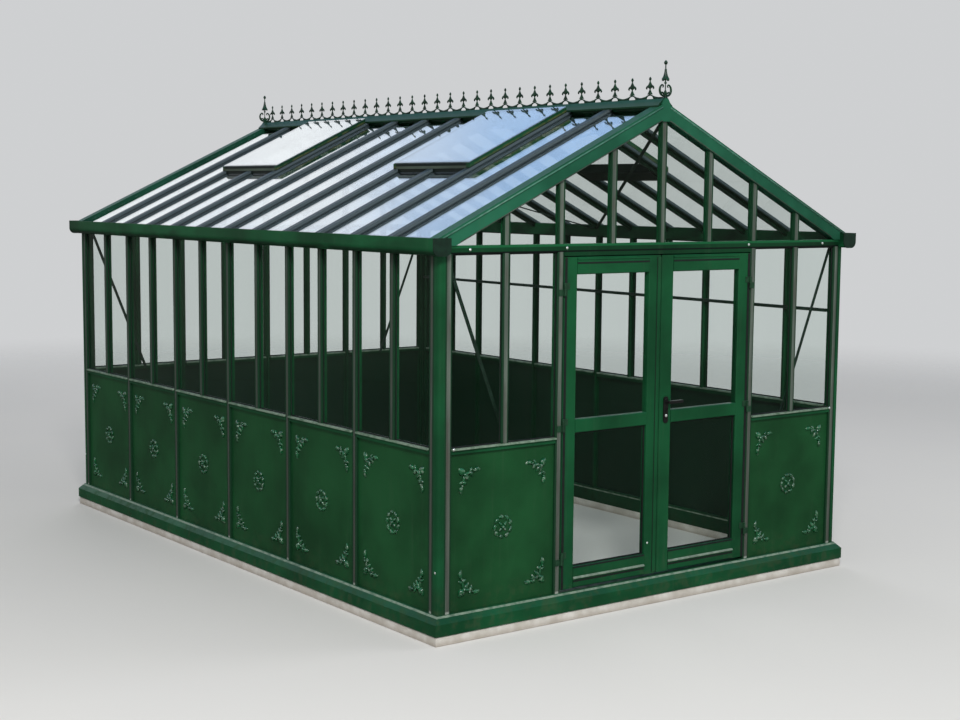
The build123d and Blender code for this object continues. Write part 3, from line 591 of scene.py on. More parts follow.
def build_ridge_slope(settings):
    """Frame paint of the ridge: dark green above, greyer towards its lower edges."""
    finish, colour = paint("ridge_slope", tinted(settings.frame_green, 0.4), settings)
    top = node_box("ridge_beam")[1][2]
    slope = finish.mix(finish.height().rise(top - 0.03, top - 0.01), RIDGE_EDGE, RIDGE_CROWN)
    return finish.coloured(finish.mix(finish.skyward(), colour, slope))


def build_bar_green(settings):
    """Roof bars: slate caps with sides painted paler as light, and painted shade along the glass and below
    it.
    """
    finish, colour = paint("bar_green", tinted(settings.frame_green, 0.22), settings)
    top = slope_levels("roof_bars_left")[1]
    slate = finish.mix(finish.noise(0.09).rise(0.5, 0.72) * 0.5, settings.roof_slate, LICHEN)
    # Painted light: the cap's sides are paler than its top
    cap = finish.mix(finish.skyward(0.3, 0.7), BAR_SIDE_LIGHT, slate)
    level = finish.slope_level()
    # Painted shade: a dark line at the cap's foot along the glass, and the bar below it darkened
    below = finish.mix(level.rise(top - 0.026, top - 0.022), colour, BAR_SHADE_LINE)
    return finish.coloured(finish.mix(level.rise(top - 0.018, top - 0.014), below, cap))


def build_tie_shade_and_highlight(settings):
    """Frame paint of the beams under the gables, halved as shade: a black painted shadow at the foot, a
    painted highlight on top.
    """
    # Painted shade: frame paint at half brightness, on the beams and the door head
    finish, colour = paint("tie_shade_and_highlight", tinted(settings.frame_green, 0.5), settings)
    foot, top = (corner[2] for corner in node_box("tie_beams"))
    height = finish.height()
    # Painted shadow: a black line along the beam's foot
    line = height.rise(foot - 0.001, foot) * height.fall(foot + 0.007, foot + 0.009)
    lined = finish.mix(line, colour, DEEP_SHADE)
    # Painted highlight: the top of the beam is made paler
    edge = height.rise(top - 0.014, top - 0.011)
    return finish.coloured(finish.mix(edge, lined, tinted(settings.frame_green, 1.5)))


def build_gutter_green(settings):
    """Frame paint of the gutters, darker, with brighter patches, and painted shade making the upward faces
    near black.
    """
    finish, colour = paint("gutter_green", tinted(settings.frame_green, 0.92), settings)
    patches = finish.noise(0.22, stretch=(1.0, 0.5, 1.0)).rise(0.5, 0.66) * 0.6
    paler_marks = finish.mix(patches, colour, tinted(settings.frame_green, 1.6))
    # Painted shade: faces that look at the sky, such as the trough's inside, are made near black
    return finish.coloured(finish.mix(finish.skyward(0.3, 0.7), paler_marks, GUTTER_INSIDE_SHADE))


def build_vent_green(settings):
    """Frame paint of the vents' sides: green above, olive growth lower, a black line at the foot."""
    finish, colour = paint("vent_green", tinted(settings.frame_green, 0.75), settings)
    low, high = slope_levels("vent_stiles")
    level = (finish.slope_level() - low) / (high - low)
    growth = finish.noise(0.06, stretch=(1.0, 0.4, 1.0)).rise(0.35, 0.6) * level.fall(0.4, 0.65)
    grown = finish.mix(growth * 0.7, colour, OLIVE_GROWTH)
    lined = finish.mix(level.rise(0.1, 0.2), FOOT_SHADE, grown)
    return finish.coloured(finish.mix(finish.skyward(), lined, settings.roof_slate))


def build_vent_edge(settings):
    """Paint of the vents' cross rails: black along the upper edge, grey-green below."""
    finish, colour = paint("vent_edge", VENT_RAIL, settings)
    low, high = slope_levels("vent_rails")
    level = (finish.slope_level() - low) / (high - low)
    return finish.coloured(finish.mix(level.rise(0.45, 0.55), colour, EDGE_SHADE))


def build_panel_green(settings):
    """Sheet paint over gently waved metal, a little darker towards the top, with painted shade on its inward
    faces.
    """
    finish, colour = paint("panel_green", settings.panel_green, settings)
    finish.shade(Normal=finish.bump(finish.noise(0.4, detail=1.0), 0.003, Normal=finish.relief))
    outside = finish.mix(finish.height().rise(0.3, 1.0) * 0.25, colour, tinted(settings.panel_green, 0.8))
    # Painted shade: faces that look towards the building's middle take a near-black green
    return finish.coloured(finish.mix(finish.facing_out(), PANEL_INSIDE_SHADE, outside))


def build_cast_green(settings):
    """Glossy painted casting, with random paler spots painted on as highlights for glints."""
    finish = Finish("cast_green")
    grain = finish.noise(0.004, detail=3.0)
    green = settings.frame_green
    colour = finish.mix(finish.noise(0.06).rise(0.35, 0.7), tinted(green, 0.8), tinted(green, 1.7))
    finish.shade(Roughness=(0.2 + 0.14 * grain).clamped(), Specular_IOR_Level=0.5)
    finish.shade(Coat_Weight=0.35, Coat_Roughness=0.08, Normal=finish.bump(grain, 0.0004, strength=0.5))
    # Painted highlights: random spots made paler, standing for glints on the leaves
    wear_and_glint = finish.noise(0.014).rise(0.5, 0.68) * 0.6
    return finish.coloured(finish.mix(wear_and_glint, colour, tinted(settings.worn_edge_and_glint, 1.2)))


def build_ridge_green(settings):
    """Casting on the ridge, darker and duller than those on the panels."""
    finish = Finish("ridge_green")
    grain = finish.noise(0.005, detail=3.0)
    green = settings.frame_green
    finish.shade(Roughness=(0.32 + 0.2 * grain).clamped(), Specular_IOR_Level=0.3)
    finish.shade(Normal=finish.bump(grain, 0.0005, strength=0.6))
    clouds = finish.noise(0.05).rise(0.35, 0.7)
    return finish.coloured(finish.mix(clouds, tinted(green, 0.2), tinted(green, 0.6)))


def build_cap_grey(settings, name="cap_grey", share=1.0, pitch=END_PITCH, axis=0, middle_half=0.012):
    """Weathered caps: a paler middle with painted shade at the sides, rain streaks, brown blotches lower
    down and pale feet.
    """
    finish = Finish(name)
    streaks = finish.noise(0.02, stretch=(1.0, 1.0, 0.04)).rise(0.3, 0.72)
    blotches = finish.noise(0.09, stretch=(1.0, 1.0, 0.35))
    height = finish.height()
    dark, pale = tinted(settings.cap_grey, 0.65 * share), tinted(settings.cap_grey, 1.35 * share)
    grey = finish.mix(streaks, dark, pale)
    brown = finish.mix(blotches.rise(0.45, 0.7) * 0.5, grey, CAP_BROWN)
    lower = finish.mix(height.fall(0.5, 1.4) * 0.4, brown, CAP_LOWER)
    foot = finish.mix(height.fall(PANEL_FOOT + 0.008, PANEL_FOOT + 0.016) * 0.8, lower, CAP_FOOT)
    # Painted shade: away from the bar line the cap is painted dark green, leaving a paler middle
    off_line = finish.math("PINGPONG", finish.axes()[axis], pitch / 2)
    middle = off_line.fall(middle_half - 0.002, middle_half + 0.002)
    finish.shade(Roughness=(0.42 + 0.3 * blotches).clamped(), Specular_IOR_Level=0.25)
    finish.shade(Normal=finish.bump(finish.noise(0.003, detail=2.0), 0.0002, strength=0.4))
    return finish.coloured(finish.mix(middle, tinted(settings.frame_green, 0.5), foot))


def build_cap_shaded(settings):
    """The caps of the long walls, painted darker than those of the ends as shade."""
    return build_cap_grey(settings, "cap_shaded", 0.6, SIDE_PITCH, 1, 0.009)


def build_glass(name, tint, least, grazing, inner_share, film_share):
    """Thin glass: what is behind shows through, the rest mirrors, more at a low angle and on the outer side.

    With e as one less the cosine of the viewing angle, the mirrored share of a face is
    least + grazing * e ** 3, times inner_share on a face that looks down.
    """
    finish = Finish(name)
    film = finish.noise(0.3, stretch=(1.0, 1.0, 0.4))
    spots = finish.noise(0.02).rise(0.5, 0.8)
    edge = finish.node("ShaderNodeLayerWeight", None, {"Blend": 0.5}, output="Facing")
    side = inner_share + (1.0 - inner_share) * finish.facing_up().rise(-0.3, 0.0)
    share = (least + grazing * edge * edge * edge) * side + film_share * film.rise(0.45, 0.8)
    finish.shade(Roughness=(0.02 + 0.08 * spots).clamped(), Metallic=1.0)
    clear = finish.node("ShaderNodeBsdfTransparent", None, {"Color": GLASS_CLEAR})
    mirror = Signal(finish, finish.shader.outputs[0])
    finish.feed(finish.output.inputs[0], finish.choose(share.clamped(), clear, mirror))
    return finish.coloured(finish.mix(film.rise(0.3, 0.8), tinted(tint, 0.93), tint))


def build_wall_glass(settings):
    """Panes of walls, gables and doors."""
    return build_glass("wall_glass", GLASS_TINT, 0.012, 0.25, 1.0, 0.008)


def build_roof_glass(settings):
    """Panes of the roof and its vents, which mirror the sky."""
    return build_glass("roof_glass", settings.roof_sky, 0.14, 1.15, 0.2, 0.03)


def build_kerb_concrete(settings):
    """Stained concrete, damp at the foot."""
    finish = Finish("kerb_concrete")
    grain = finish.noise(0.006, detail=5.0)
    colour = finish.mix(finish.noise(0.12).rise(0.35, 0.7), KERB_STAINED, KERB_CLEAN)
    finish.shade(Roughness=(0.8 + 0.15 * grain).clamped(), Normal=finish.bump(grain, 0.0015))
    return finish.coloured(finish.mix(finish.height().fall(0.0, 0.03) * 0.5, colour, KERB_DAMP))


def build_plain(name, colour, roughness, metallic):
    """Small fittings: a mottled colour with fine grain."""
    finish = Finish(name)
    mottle = finish.noise(0.03)
    finish.shade(Roughness=(roughness + 0.2 * (mottle - 0.5)).clamped(), Metallic=metallic)
    finish.shade(Specular_IOR_Level=0.3)
    finish.shade(Normal=finish.bump(finish.noise(0.003, detail=3.0), 0.0002, strength=0.5))
    return finish.coloured(finish.mix(mottle.rise(0.3, 0.7), tinted(colour, 0.75), tinted(colour, 1.3)))


# Colour, roughness and metallic share of each small fitting's finish
PLAIN_FINISHES = {
    "end_cap_grey": ((0.003, 0.018, 0.009), 0.5, 0.0),
    "brace_dark": ((0.006, 0.02, 0.012), 0.45, 0.0),
    "hinge_dark": ((0.012, 0.045, 0.022), 0.35, 0.0),
    "handle_black": ((0.008, 0.008, 0.008), 0.3, 0.0),
    "gasket_black": ((0.006, 0.008, 0.007), 0.6, 0.0),
    "bare_metal": ((0.75, 0.78, 0.74), 0.3, 0.6),
    "clip_pale": ((0.3, 0.28, 0.24), 0.55, 0.0),
    # Pale green of the door drips
    "pale_green": ((0.16, 0.216, 0.168), 0.4, 0.0),
    # Rake bead and rake line: paler colours that paint highlights along the rakes' edges
    "rake_bead_highlight": ((0.055, 0.165, 0.115), 0.35, 0.0),
    "rake_edge_highlight": ((0.045, 0.05, 0.04), 0.4, 0.0),
}
FINISH_BUILDERS = {
    "green_paint": build_frame_green,
    "panel_green": build_panel_green,
    "cast_green": build_cast_green,
    "cap_grey": build_cap_grey,
    "wall_glass": build_wall_glass,
    "roof_glass": build_roof_glass,
    "kerb_concrete": build_kerb_concrete,
    "sill_green": build_sill_green,
    "base_green": build_base_green,
    "vent_green": build_vent_green,
    "ridge_green": build_ridge_green,
    "bar_green": build_bar_green,
    "rake_green": build_rake_green,
    "ridge_slope": build_ridge_slope,
    "tie_shade_and_highlight": build_tie_shade_and_highlight,
    "vent_edge": build_vent_edge,
    "gutter_green": build_gutter_green,
    "cap_shaded": build_cap_shaded,
}
NODE_FINISHES = {
    "sill_rails": "sill_green",
    "base_frame": "base_green",
    "roof_bars_left": "bar_green",
    "roof_bars_right": "bar_green",
    "eave_gutter_left": "gutter_green",
    "eave_gutter_right": "gutter_green",
    "wall_caps_left": "cap_shaded",
    "wall_caps_right": "cap_shaded",
    "rake_rafters": "rake_green",
    "gable_apex_plates": "rake_green",
    "ridge_beam": "ridge_slope",
    # The tie beams and the door head take the painted shade of the tie finish
    "tie_beams": "tie_shade_and_highlight",
    "door_head": "tie_shade_and_highlight",
    "vent_headers": "vent_green",
    "vent_stiles": "vent_green",
    "vent_rails": "vent_edge",
}
finished = {}


def finish_for(name):
    """The material of a slot or of a finish of its own, built at its first use."""
    if name not in finished and name in PLAIN_FINISHES:
        finished[name] = build_plain(name, *PLAIN_FINISHES[name])
    elif name not in finished:
        finished[name] = FINISH_BUILDERS[name](bpy.context.scene.greenhouse_finish)
    return finished[name]


def grid_faces(rows, columns, close_rows=False, close_columns=False):
    """Quads of a grid of points kept row by row, joined round where a direction is closed."""
    row = np.arange(rows if close_rows else rows - 1)
    column = np.arange(columns if close_columns else columns - 1)
    row, column = (values.ravel() for values in np.meshgrid(row, column, indexing="ij"))
    next_row = (row + 1) % rows
    next_column = (column + 1) % columns
    corners = [row * columns + column, row * columns + next_column,
               next_row * columns + next_column, next_row * columns + column]
    return np.stack(corners, axis=1)


def skin(x, y, z, capped=False):
    """Surface over rings of points, a ring to a row; each end ring is closed to its middle if capped."""
    rings = np.stack(np.broadcast_arrays(x, y, z), axis=-1)
    if capped:
        ends = [np.broadcast_to(rings[n].mean(axis=0), rings[n].shape)[None] for n in (0, -1)]
        rings = np.concatenate([ends[0], rings, ends[1]])
    return rings.reshape(-1, 3), grid_faces(*rings.shape[:2], close_columns=True)


def full_turn(steps):
    """Angles of one turn, as a row."""
    return np.linspace(0.0, 2 * pi, steps, endpoint=False)[None, :]


def squared(wave, power):
    """A sine or cosine whose size is raised to a power and whose sign stays, which squares a round off."""
    return np.sign(wave) * np.abs(wave) ** power


def joined(parts):
    """One set of points and quads from several."""
    offsets = np.cumsum([0] + [len(points) for points, faces in parts[:-1]])
    points = np.concatenate([part[0] for part in parts])
    faces = np.concatenate([part[1] + offset for part, offset in zip(parts, offsets)])
    return points, faces


def stamped(unit, origins, axes):
    """Copies of a unit at some origins: point p of a copy lies at its origin plus p times the three axes."""
    points, faces = unit
    origins = np.asarray(origins, float)
    placed = origins[:, None, :] + points @ np.asarray(axes, float)
    counted = faces[None] + (np.arange(len(origins)) * len(points))[:, None, None]
    return placed.reshape(-1, 3), counted.reshape(-1, 4)


def moved(shape, origin, axes=AS_DRAWN):
    """One copy of a shape at an origin, with its own axes turned to the given ones."""
    return stamped(shape, [origin], axes)


def spin(angle):
    """Axes turned about Z by an angle."""
    return np.array([[cos(angle), sin(angle), 0.0], [-sin(angle), cos(angle), 0.0], [0.0, 0.0, 1.0]])


def polar(angle):
    """Direction at an angle from X, in the XY plane."""
    return np.array([cos(angle), sin(angle), 0.0])


def on_wall(unit, name, places, angle=0.0):
    """Copies of a unit drawn in along, up and out, on a wall at places (along, up, out)."""
    wall = WALLS[name]
    axes = np.stack([wall["along"], UP, wall["out"]])
    return stamped(unit, np.asarray(places, float) @ axes, spin(angle) @ axes)


def add_piece(name, shape, slot, body="root", finish=None, smooth=True):
    """Makes a mesh of points and quads, closes its seams and poles, and sets it on a body."""
    points, faces = shape
    mesh = bpy.data.meshes.new(name)
    mesh.from_pydata(points.tolist(), [], faces.tolist())
    shell = bmesh.new()
    shell.from_mesh(mesh)
    bmesh.ops.remove_doubles(shell, verts=shell.verts, dist=1e-6)
    bmesh.ops.recalc_face_normals(shell, faces=shell.faces)
    shell.to_mesh(mesh)
    shell.free()
    mesh.polygons.foreach_set("use_smooth", np.full(len(mesh.polygons), smooth))
    mesh.materials.append(finish_for(finish or slot))
    piece = bpy.data.objects.new(name, mesh)
    bpy.context.scene.collection.objects.link(piece)
    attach(piece, body)
    return piece


def add_black_strip(name, shape, body="root"):
    """A black strip with sharp edges: rubber gaskets, and strips that stand for painted shade."""
    add_piece(name, shape, "handle_black", body, "gasket_black", smooth=False)


def leaf(length, width, relief, bend=0.0):
    """Closed leaf from the origin along +X, raised towards +Z.

    Along it u goes from 0 to 1 and its half width is width / 2 * sin(pi * u ** 0.75) ** 0.8. Round it v goes
    from 0 to 2 pi: y is the half width times cos v, and z is the relief times sin v where that is positive,
    lower at the tip, with a flat back. The middle line turns by bend radians over its length.
    """
    u = np.linspace(0.0, 1.0, 8)[:, None]
    v = full_turn(6)
    swell = np.sin(pi * u ** 0.75).clip(0.0) ** 0.8
    across = 0.5 * width * swell * np.cos(v)
    raised = relief * swell ** 0.7 * np.sin(v).clip(0.0) * (1.0 - 0.35 * u)
    turn = bend * u
    along = length * (np.sin(turn) / bend if bend else u)
    aside = length * ((1.0 - np.cos(turn)) / bend if bend else 0.0 * u)
    return skin(along - across * np.sin(turn), aside + across * np.cos(turn), raised)


def revolved(profile, steps):
    """A profile of radius and height turned round the Z axis."""
    profile = np.asarray(profile, float)
    turn = full_turn(steps)
    return skin(profile[:, :1] * np.cos(turn), profile[:, :1] * np.sin(turn), profile[:, 1:])


def smooth_line(points, steps):
    """Points on the Catmull-Rom curve through a few given ones, steps to each stretch."""
    points = np.asarray(points, float)
    padded = np.concatenate([2 * points[:1] - points[1:2], points, 2 * points[-1:] - points[-2:-1]])
    t = np.linspace(0.0, 1.0, steps, endpoint=False)[None, :, None]
    before, start, end, after = (padded[n:n + len(points) - 1, None, :] for n in range(4))
    curve = 0.5 * (2 * start + (end - before) * t + (2 * before - 5 * start + 4 * end - after) * t ** 2
                   + (3 * start - before - 3 * end + after) * t ** 3)
    return np.concatenate([curve.reshape(-1, points.shape[1]), points[-1:]])


def tube(path, radii, steps, flatness):
    """Tube along a path in the XZ plane, with closed ends.

    Round it v goes from 0 to 2 pi: radius * cos v lies in the plane, square to the path, and
    flatness * radius * sin v along Y.
    """
    heading = np.gradient(path, axis=0)
    heading /= np.linalg.norm(heading, axis=1, keepdims=True)
    v = full_turn(steps)
    across = radii[:, None] * np.cos(v)
    x = path[:, :1] + across * heading[:, 1:]
    z = path[:, 1:] - across * heading[:, :1]
    return skin(x, flatness * radii[:, None] * np.sin(v), z, capped=True)


def casting(outline, thickness):
    """Flat casting on the XZ plane, the same on both sides of the Z axis.

    Along its outline u gives a half width w and a height h. Round it v goes from 0 to 2 pi: x is w times
    cos v, z is h, and y is the half thickness, which shrinks where the casting is narrow, times sin v.
    """
    v = full_turn(CASTING_SIDES)
    depth = thickness * (1.0 - np.exp(-outline[:, :1] / thickness))
    return skin(outline[:, :1] * np.cos(v), depth * squared(np.sin(v), 0.7), outline[:, 1:])


def frame_strip(width, height, profile):
    """A profile carried round a rectangle with mitred corners, in the XY plane and raised towards +Z.

    Profile point (a, b) runs at distance a inside the rectangle's edge and b above it, so at the corner with
    signs s and t it lies at (s * (width / 2 - a), t * (height / 2 - a), b).
    """
    profile = np.asarray(profile, float)
    inset = np.array([width / 2, height / 2]) - profile[None, :, :1]
    level = np.broadcast_to(profile[None, :, 1:], (4, len(profile), 1))
    points = np.concatenate([np.array(CORNERS, float)[:, None, :] * inset, level], axis=-1)
    return points.reshape(-1, 3), grid_faces(4, len(profile), close_rows=True, close_columns=True)


def rod(start, end, radius, across, steps):
    """Oval rod with closed ends: radius is its half width on the level, across the one square to that."""
    along = (end - start) / np.linalg.norm(end - start)
    first = np.cross(along, UP)
    first /= np.linalg.norm(first)
    v = full_turn(steps)[..., None]
    ring = radius * np.cos(v) * first + across * np.sin(v) * np.cross(along, first)
    return skin(*np.moveaxis(np.stack([start, end])[:, None, :] + ring, -1, 0), capped=True)


def moulding(length, profile):
    """A profile of depth and height carried along X, length long, with closed ends."""
    depth, height = np.array(profile, float).T
    return skin(np.array([[-length / 2], [length / 2]]), depth, height, capped=True)


def column(profile, foot, top):
    """An upright of constant section: the profile in the XY plane, from foot to top, with closed ends."""
    x, y = np.array(profile, float).T
    return skin(x, y, np.array([[foot], [top]]), capped=True)


def flat_strip(half_width, foot, top):
    """A thin upright strip, raised towards -Y."""
    near, far = -STRIP_RELIEF, 0.0
    profile = ((-half_width, far), (-half_width, near), (half_width, near), (half_width, far))
    return column(profile, foot, top)


def dome(radius, height, steps=10, rings=4):
    """Closed dome on a flat base: radius times cos, height times sin, over a quarter turn."""
    lift = np.linspace(0.0, pi / 2, rings)
    profile = [(0.0, 0.0)] + list(zip(radius * np.cos(lift), height * np.sin(lift)))
    return revolved(profile, steps)


class GREENHOUSE_OT_finishes(Operator):
    """Give every part of the frame its paint, glass or metal."""

    bl_idname = "greenhouse.finishes"
    bl_label = "Paint and glaze the frame"

    def execute(self, context):
        slots = {part["node"]: part["material_slot"] for part in frame["record"]["subparts"]}
        for name, node in frame["nodes"].items():
            node.data.materials.clear()
            node.data.materials.append(finish_for(NODE_FINISHES.get(name, slots[name])))
        return {"FINISHED"}


def corner_spray(settings):
    """Cast leaves of a panel's lower left corner, in a right angle whose own corner is the origin.

    On the diagonal a broad leaf points into the corner and a slim one out of it. From their heart a stem
    runs along each edge, with a leaf on its way, one across it, and one at its tip.
    """
    reach = settings.spray_reach
    width = settings.leaf_width
    relief = settings.relief
    heart = np.array([0.3, 0.3, 0.0]) * reach
    diagonal = radians(45)
    parts = [
        moved(leaf(0.36 * reach, width, 1.3 * relief), heart, spin(diagonal + pi)),
        moved(leaf(0.34 * reach, 0.6 * width, relief), heart, spin(diagonal)),
        moved(dome(0.26 * width, 1.5 * relief), heart),
    ]
    for side in (-1, 1):
        arm = diagonal - side * radians(62)
        tip = heart + 0.42 * reach * polar(arm)
        fork = heart + 0.25 * reach * polar(arm)
        stem = leaf(0.44 * reach, 0.42 * width, 0.8 * relief, bend=side * 0.35)
        last = leaf(0.34 * reach, 0.62 * width, relief, bend=side * 0.9)
        inner = leaf(0.24 * reach, 0.5 * width, relief, bend=side * 0.8)
        outer = leaf(0.2 * reach, 0.42 * width, 0.9 * relief)
        parts += [
            moved(stem, heart, spin(arm)),
            moved(last, tip, spin(arm - side * 0.1)),
            moved(inner, fork, spin(arm + side * 0.95)),
            moved(outer, fork, spin(arm - side * 0.8)),
            moved(dome(0.17 * width, 1.2 * relief, steps=8, rings=3), tip),
        ]
    return joined(parts)


class GREENHOUSE_OT_corner_leaves(Operator):
    """Add the cast leaves in the four corners of every lower panel."""

    bl_idname = "greenhouse.corner_leaves"
    bl_label = "Corner leaves"

    def execute(self, context):
        settings = context.scene.greenhouse_ornament
        spray = corner_spray(settings)
        low = PANEL_FOOT + settings.spray_lift
        high = PANEL_TOP - settings.spray_lift
        for name, wall in WALLS.items():
            parts = []
            for first, last in panel_bays(name):
                near = line_place(wall, first) + settings.spray_inset
                far = line_place(wall, last) - settings.spray_inset
                corners = ((near, low, 0.0), (far, low, pi / 2), (far, high, pi), (near, high, 1.5 * pi))
                for along, up, angle in corners:
                    parts.append(on_wall(spray, name, [(along, up, wall["panel_reach"])], angle))
            add_piece("corner_leaves_" + name, joined(parts), "cast_green")
        return {"FINISHED"}


def rosette(settings):
    """Wreath of curved leaves round four petals and a boss."""
    radius = settings.rosette_radius
    count = settings.rosette_leaves
    relief = settings.relief
    blade = leaf(0.62 * radius, 0.36 * radius, relief, bend=0.75)
    petal = leaf(0.5 * radius, 0.26 * radius, 1.1 * relief)
    parts = [dome(0.16 * radius, 1.5 * relief)]
    for turn in np.arange(count) * 2 * pi / count:
        parts.append(moved(blade, 0.78 * radius * polar(turn), spin(turn + radians(78))))
    for turn in np.arange(4) * pi / 2 + pi / 4:
        parts.append(moved(petal, 0.1 * radius * polar(turn), spin(turn)))
    return joined(parts)


class GREENHOUSE_OT_rosettes(Operator):
    """Add the cast rosette in the middle of every lower panel."""

    bl_idname = "greenhouse.rosettes"
    bl_label = "Rosettes"

    def execute(self, context):
        unit = rosette(context.scene.greenhouse_ornament)
        middle = (PANEL_FOOT + PANEL_TOP) / 2
        for name, wall in WALLS.items():
            places = [((line_place(wall, first) + line_place(wall, last)) / 2, middle, wall["panel_reach"])
                      for first, last in panel_bays(name)]
            add_piece("rosettes_" + name, on_wall(unit, name, places), "cast_green")
        return {"FINISHED"}


def fleuron(settings):
    """Spearhead over two drooping lobes, on a neck and a spread foot."""
    height = settings.fleuron_height
    outline = smooth_line([
        (0.20, 0.0), (0.15, 0.07), (0.09, 0.17), (0.045, 0.26), (0.04, 0.31), (0.09, 0.35), (0.17, 0.4),
        (0.19, 0.46), (0.12, 0.58), (0.06, 0.68), (0.032, 0.75), (0.04, 0.79), (0.085, 0.84), (0.085, 0.89),
        (0.05, 0.95), (0.0, 1.0),
    ], 2) * height
    outline[:, 0] = 1.2 * outline[:, 0].clip(0.0)
    lobe = smooth_line([(0.06, 0.5), (0.17, 0.47), (0.26, 0.41), (0.285, 0.35), (0.24, 0.31)], 2) * height
    radii = height * np.interp(np.linspace(0, 1, len(lobe)), [0, 0.5, 0.8, 1], [0.05, 0.075, 0.065, 0.03])
    lobes = [tube(lobe * np.array([side, 1.0]), radii, 6, 0.6) for side in (-1, 1)]
    return joined([casting(outline, settings.casting_half), *lobes])


def arched_strip(settings, half_length, places):
    """Strip that rises to each fleuron, with an arch under it.

    Along it d is the distance to the nearest fleuron and a is half an arch's width. The upper edge lies at
    the saddle height plus the rest of the height times exp(-(d / (1.25 * a)) ** 2). The lower edge is the
    rise times sqrt(1 - (d / a) ** 2) over an arch and 0 between. Round the strip v goes from 0 to 2 pi
    between the two edges, with rounded corners.
    """
    half = settings.arch_half
    pitch = places[1] - places[0]
    spread = np.sin(np.linspace(-pi / 2, pi / 2, 13)) * half
    reach = np.concatenate([[-0.44 * pitch, -1.25 * half], spread, [1.25 * half, 0.44 * pitch]])
    stations = (places[:, None] + reach).ravel()
    along = np.concatenate([[-half_length], stations, [half_length]])[:, None]
    away = np.abs(along - places).min(axis=1, keepdims=True)
    saddle = settings.saddle_height
    upper = saddle + (settings.strip_height - saddle) * np.exp(-(away / (1.25 * half)) ** 2)
    lower = settings.arch_rise * np.sqrt((1.0 - (away / half) ** 2).clip(0.0))
    v = full_turn(CASTING_SIDES)
    z = (upper + lower) / 2 + (upper - lower) / 2 * squared(np.sin(v), 0.5)
    return skin(settings.casting_half * squared(np.cos(v), 0.5), along, z, capped=True)


class GREENHOUSE_OT_cresting(Operator):
    """Cast the cresting: an arched strip along the ridge with a fleuron over each arch."""

    bl_idname = "greenhouse.cresting"
    bl_label = "Ridge cresting"

    def execute(self, context):
        settings = context.scene.greenhouse_cresting
        low, high = node_box("ridge_cresting")
        count = settings.fleuron_count
        places = (np.arange(count) - (count - 1) / 2) * settings.fleuron_pitch
        strip = moved(arched_strip(settings, high[1], places), (0.0, 0.0, low[2]))
        origins = [(0.0, place, low[2] + settings.strip_height) for place in places]
        fleurons = stamped(fleuron(settings), origins, ALONG_RIDGE)
        piece = add_piece("cresting_castings", joined([strip, fleurons]), "cast_green", finish="ridge_green")
        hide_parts("ridge_cresting")
        return {"FINISHED"}


def petalled_bell(radius, height):
    """Bell of four drooping petals, open below.

    Down the outside u goes from 0 to 1: the radius grows as 0.3 + 0.7 * u ** 1.6 times the full one and a
    petal swells it by 0.14 * u * |cos(2 * angle)|, while the rim hangs lower in a petal's middle. The inside
    follows at 0.8 of the radius back up to the stem.
    """
    turn = full_turn(32)
    petal = np.abs(np.cos(2 * turn))
    u = np.linspace(0.0, 1.0, 12)[:, None]
    reach = radius * (0.3 + 0.7 * u ** 1.6) * (0.86 + 0.14 * petal * u)
    level = height * (1.0 - u) + 0.22 * height * u ** 3 * (1.0 - petal)
    inner_reach = (0.8 * reach)[::-1][:-1]
    inner_level = (level - 0.02 * height * u)[::-1][:-1]
    crown = 0.0 * turn
    radii = np.concatenate([crown, reach, inner_reach, crown])
    levels = np.concatenate([crown + height, level, inner_level, crown + 0.9 * height])
    return skin(radii * np.cos(turn), radii * np.sin(turn), levels)


def finial():
    """A moulded foot, a lyre of two scrolls with a leaf between them, a bell of petals and a bead on a stem.

    Sizes are in metres above the ridge, in the plane across it.
    """
    foot = [(0.0, 0.0), (0.014, 0.0), (0.0145, 0.003), (0.0115, 0.006), (0.0085, 0.008), (0.0085, 0.011),
            (0.011, 0.013), (0.0, 0.016)]
    limb = smooth_line([(0.002, 0.014), (0.016, 0.013), (0.031, 0.020), (0.040, 0.034), (0.042, 0.050),
                        (0.036, 0.064), (0.026, 0.072), (0.017, 0.070), (0.016, 0.062), (0.022, 0.060)], 4)
    swell = ([0, 0.3, 0.55, 0.8, 1], [0.005, 0.0075, 0.006, 0.004, 0.003])
    limb_radii = np.interp(np.linspace(0, 1, len(limb)), *swell)
    curl = smooth_line([(0.004, 0.016), (0.014, 0.026), (0.024, 0.032), (0.031, 0.028), (0.026, 0.023)], 4)
    curl_radii = np.linspace(0.006, 0.0035, len(curl))
    blade = smooth_line([(0.005, 0.014), (0.010, 0.022), (0.012, 0.030), (0.007, 0.040), (0.0, 0.048)], 3)
    stem = [(0.0, 0.040), (0.0030, 0.042), (0.0030, 0.078), (0.0075, 0.081), (0.0080, 0.085),
            (0.0042, 0.089), (0.0038, 0.156), (0.0032, 0.184), (0.0, 0.186)]
    bead = smooth_line([(0.0, 0.182), (0.006, 0.184), (0.0100, 0.191), (0.0094, 0.198), (0.004, 0.205),
                        (0.0, 0.208)], 3)
    parts = [revolved(foot, 16), casting(blade, 0.0045), revolved(stem, 12), revolved(bead, 16),
             moved(petalled_bell(0.0235, 0.064), (0.0, 0.0, 0.095))]
    for side in (-1, 1):
        for path, radii in ((limb, limb_radii), (curl, curl_radii)):
            parts.append(tube(path * np.array([side, 1.0]), radii, 8, 0.8))
    return joined(parts)


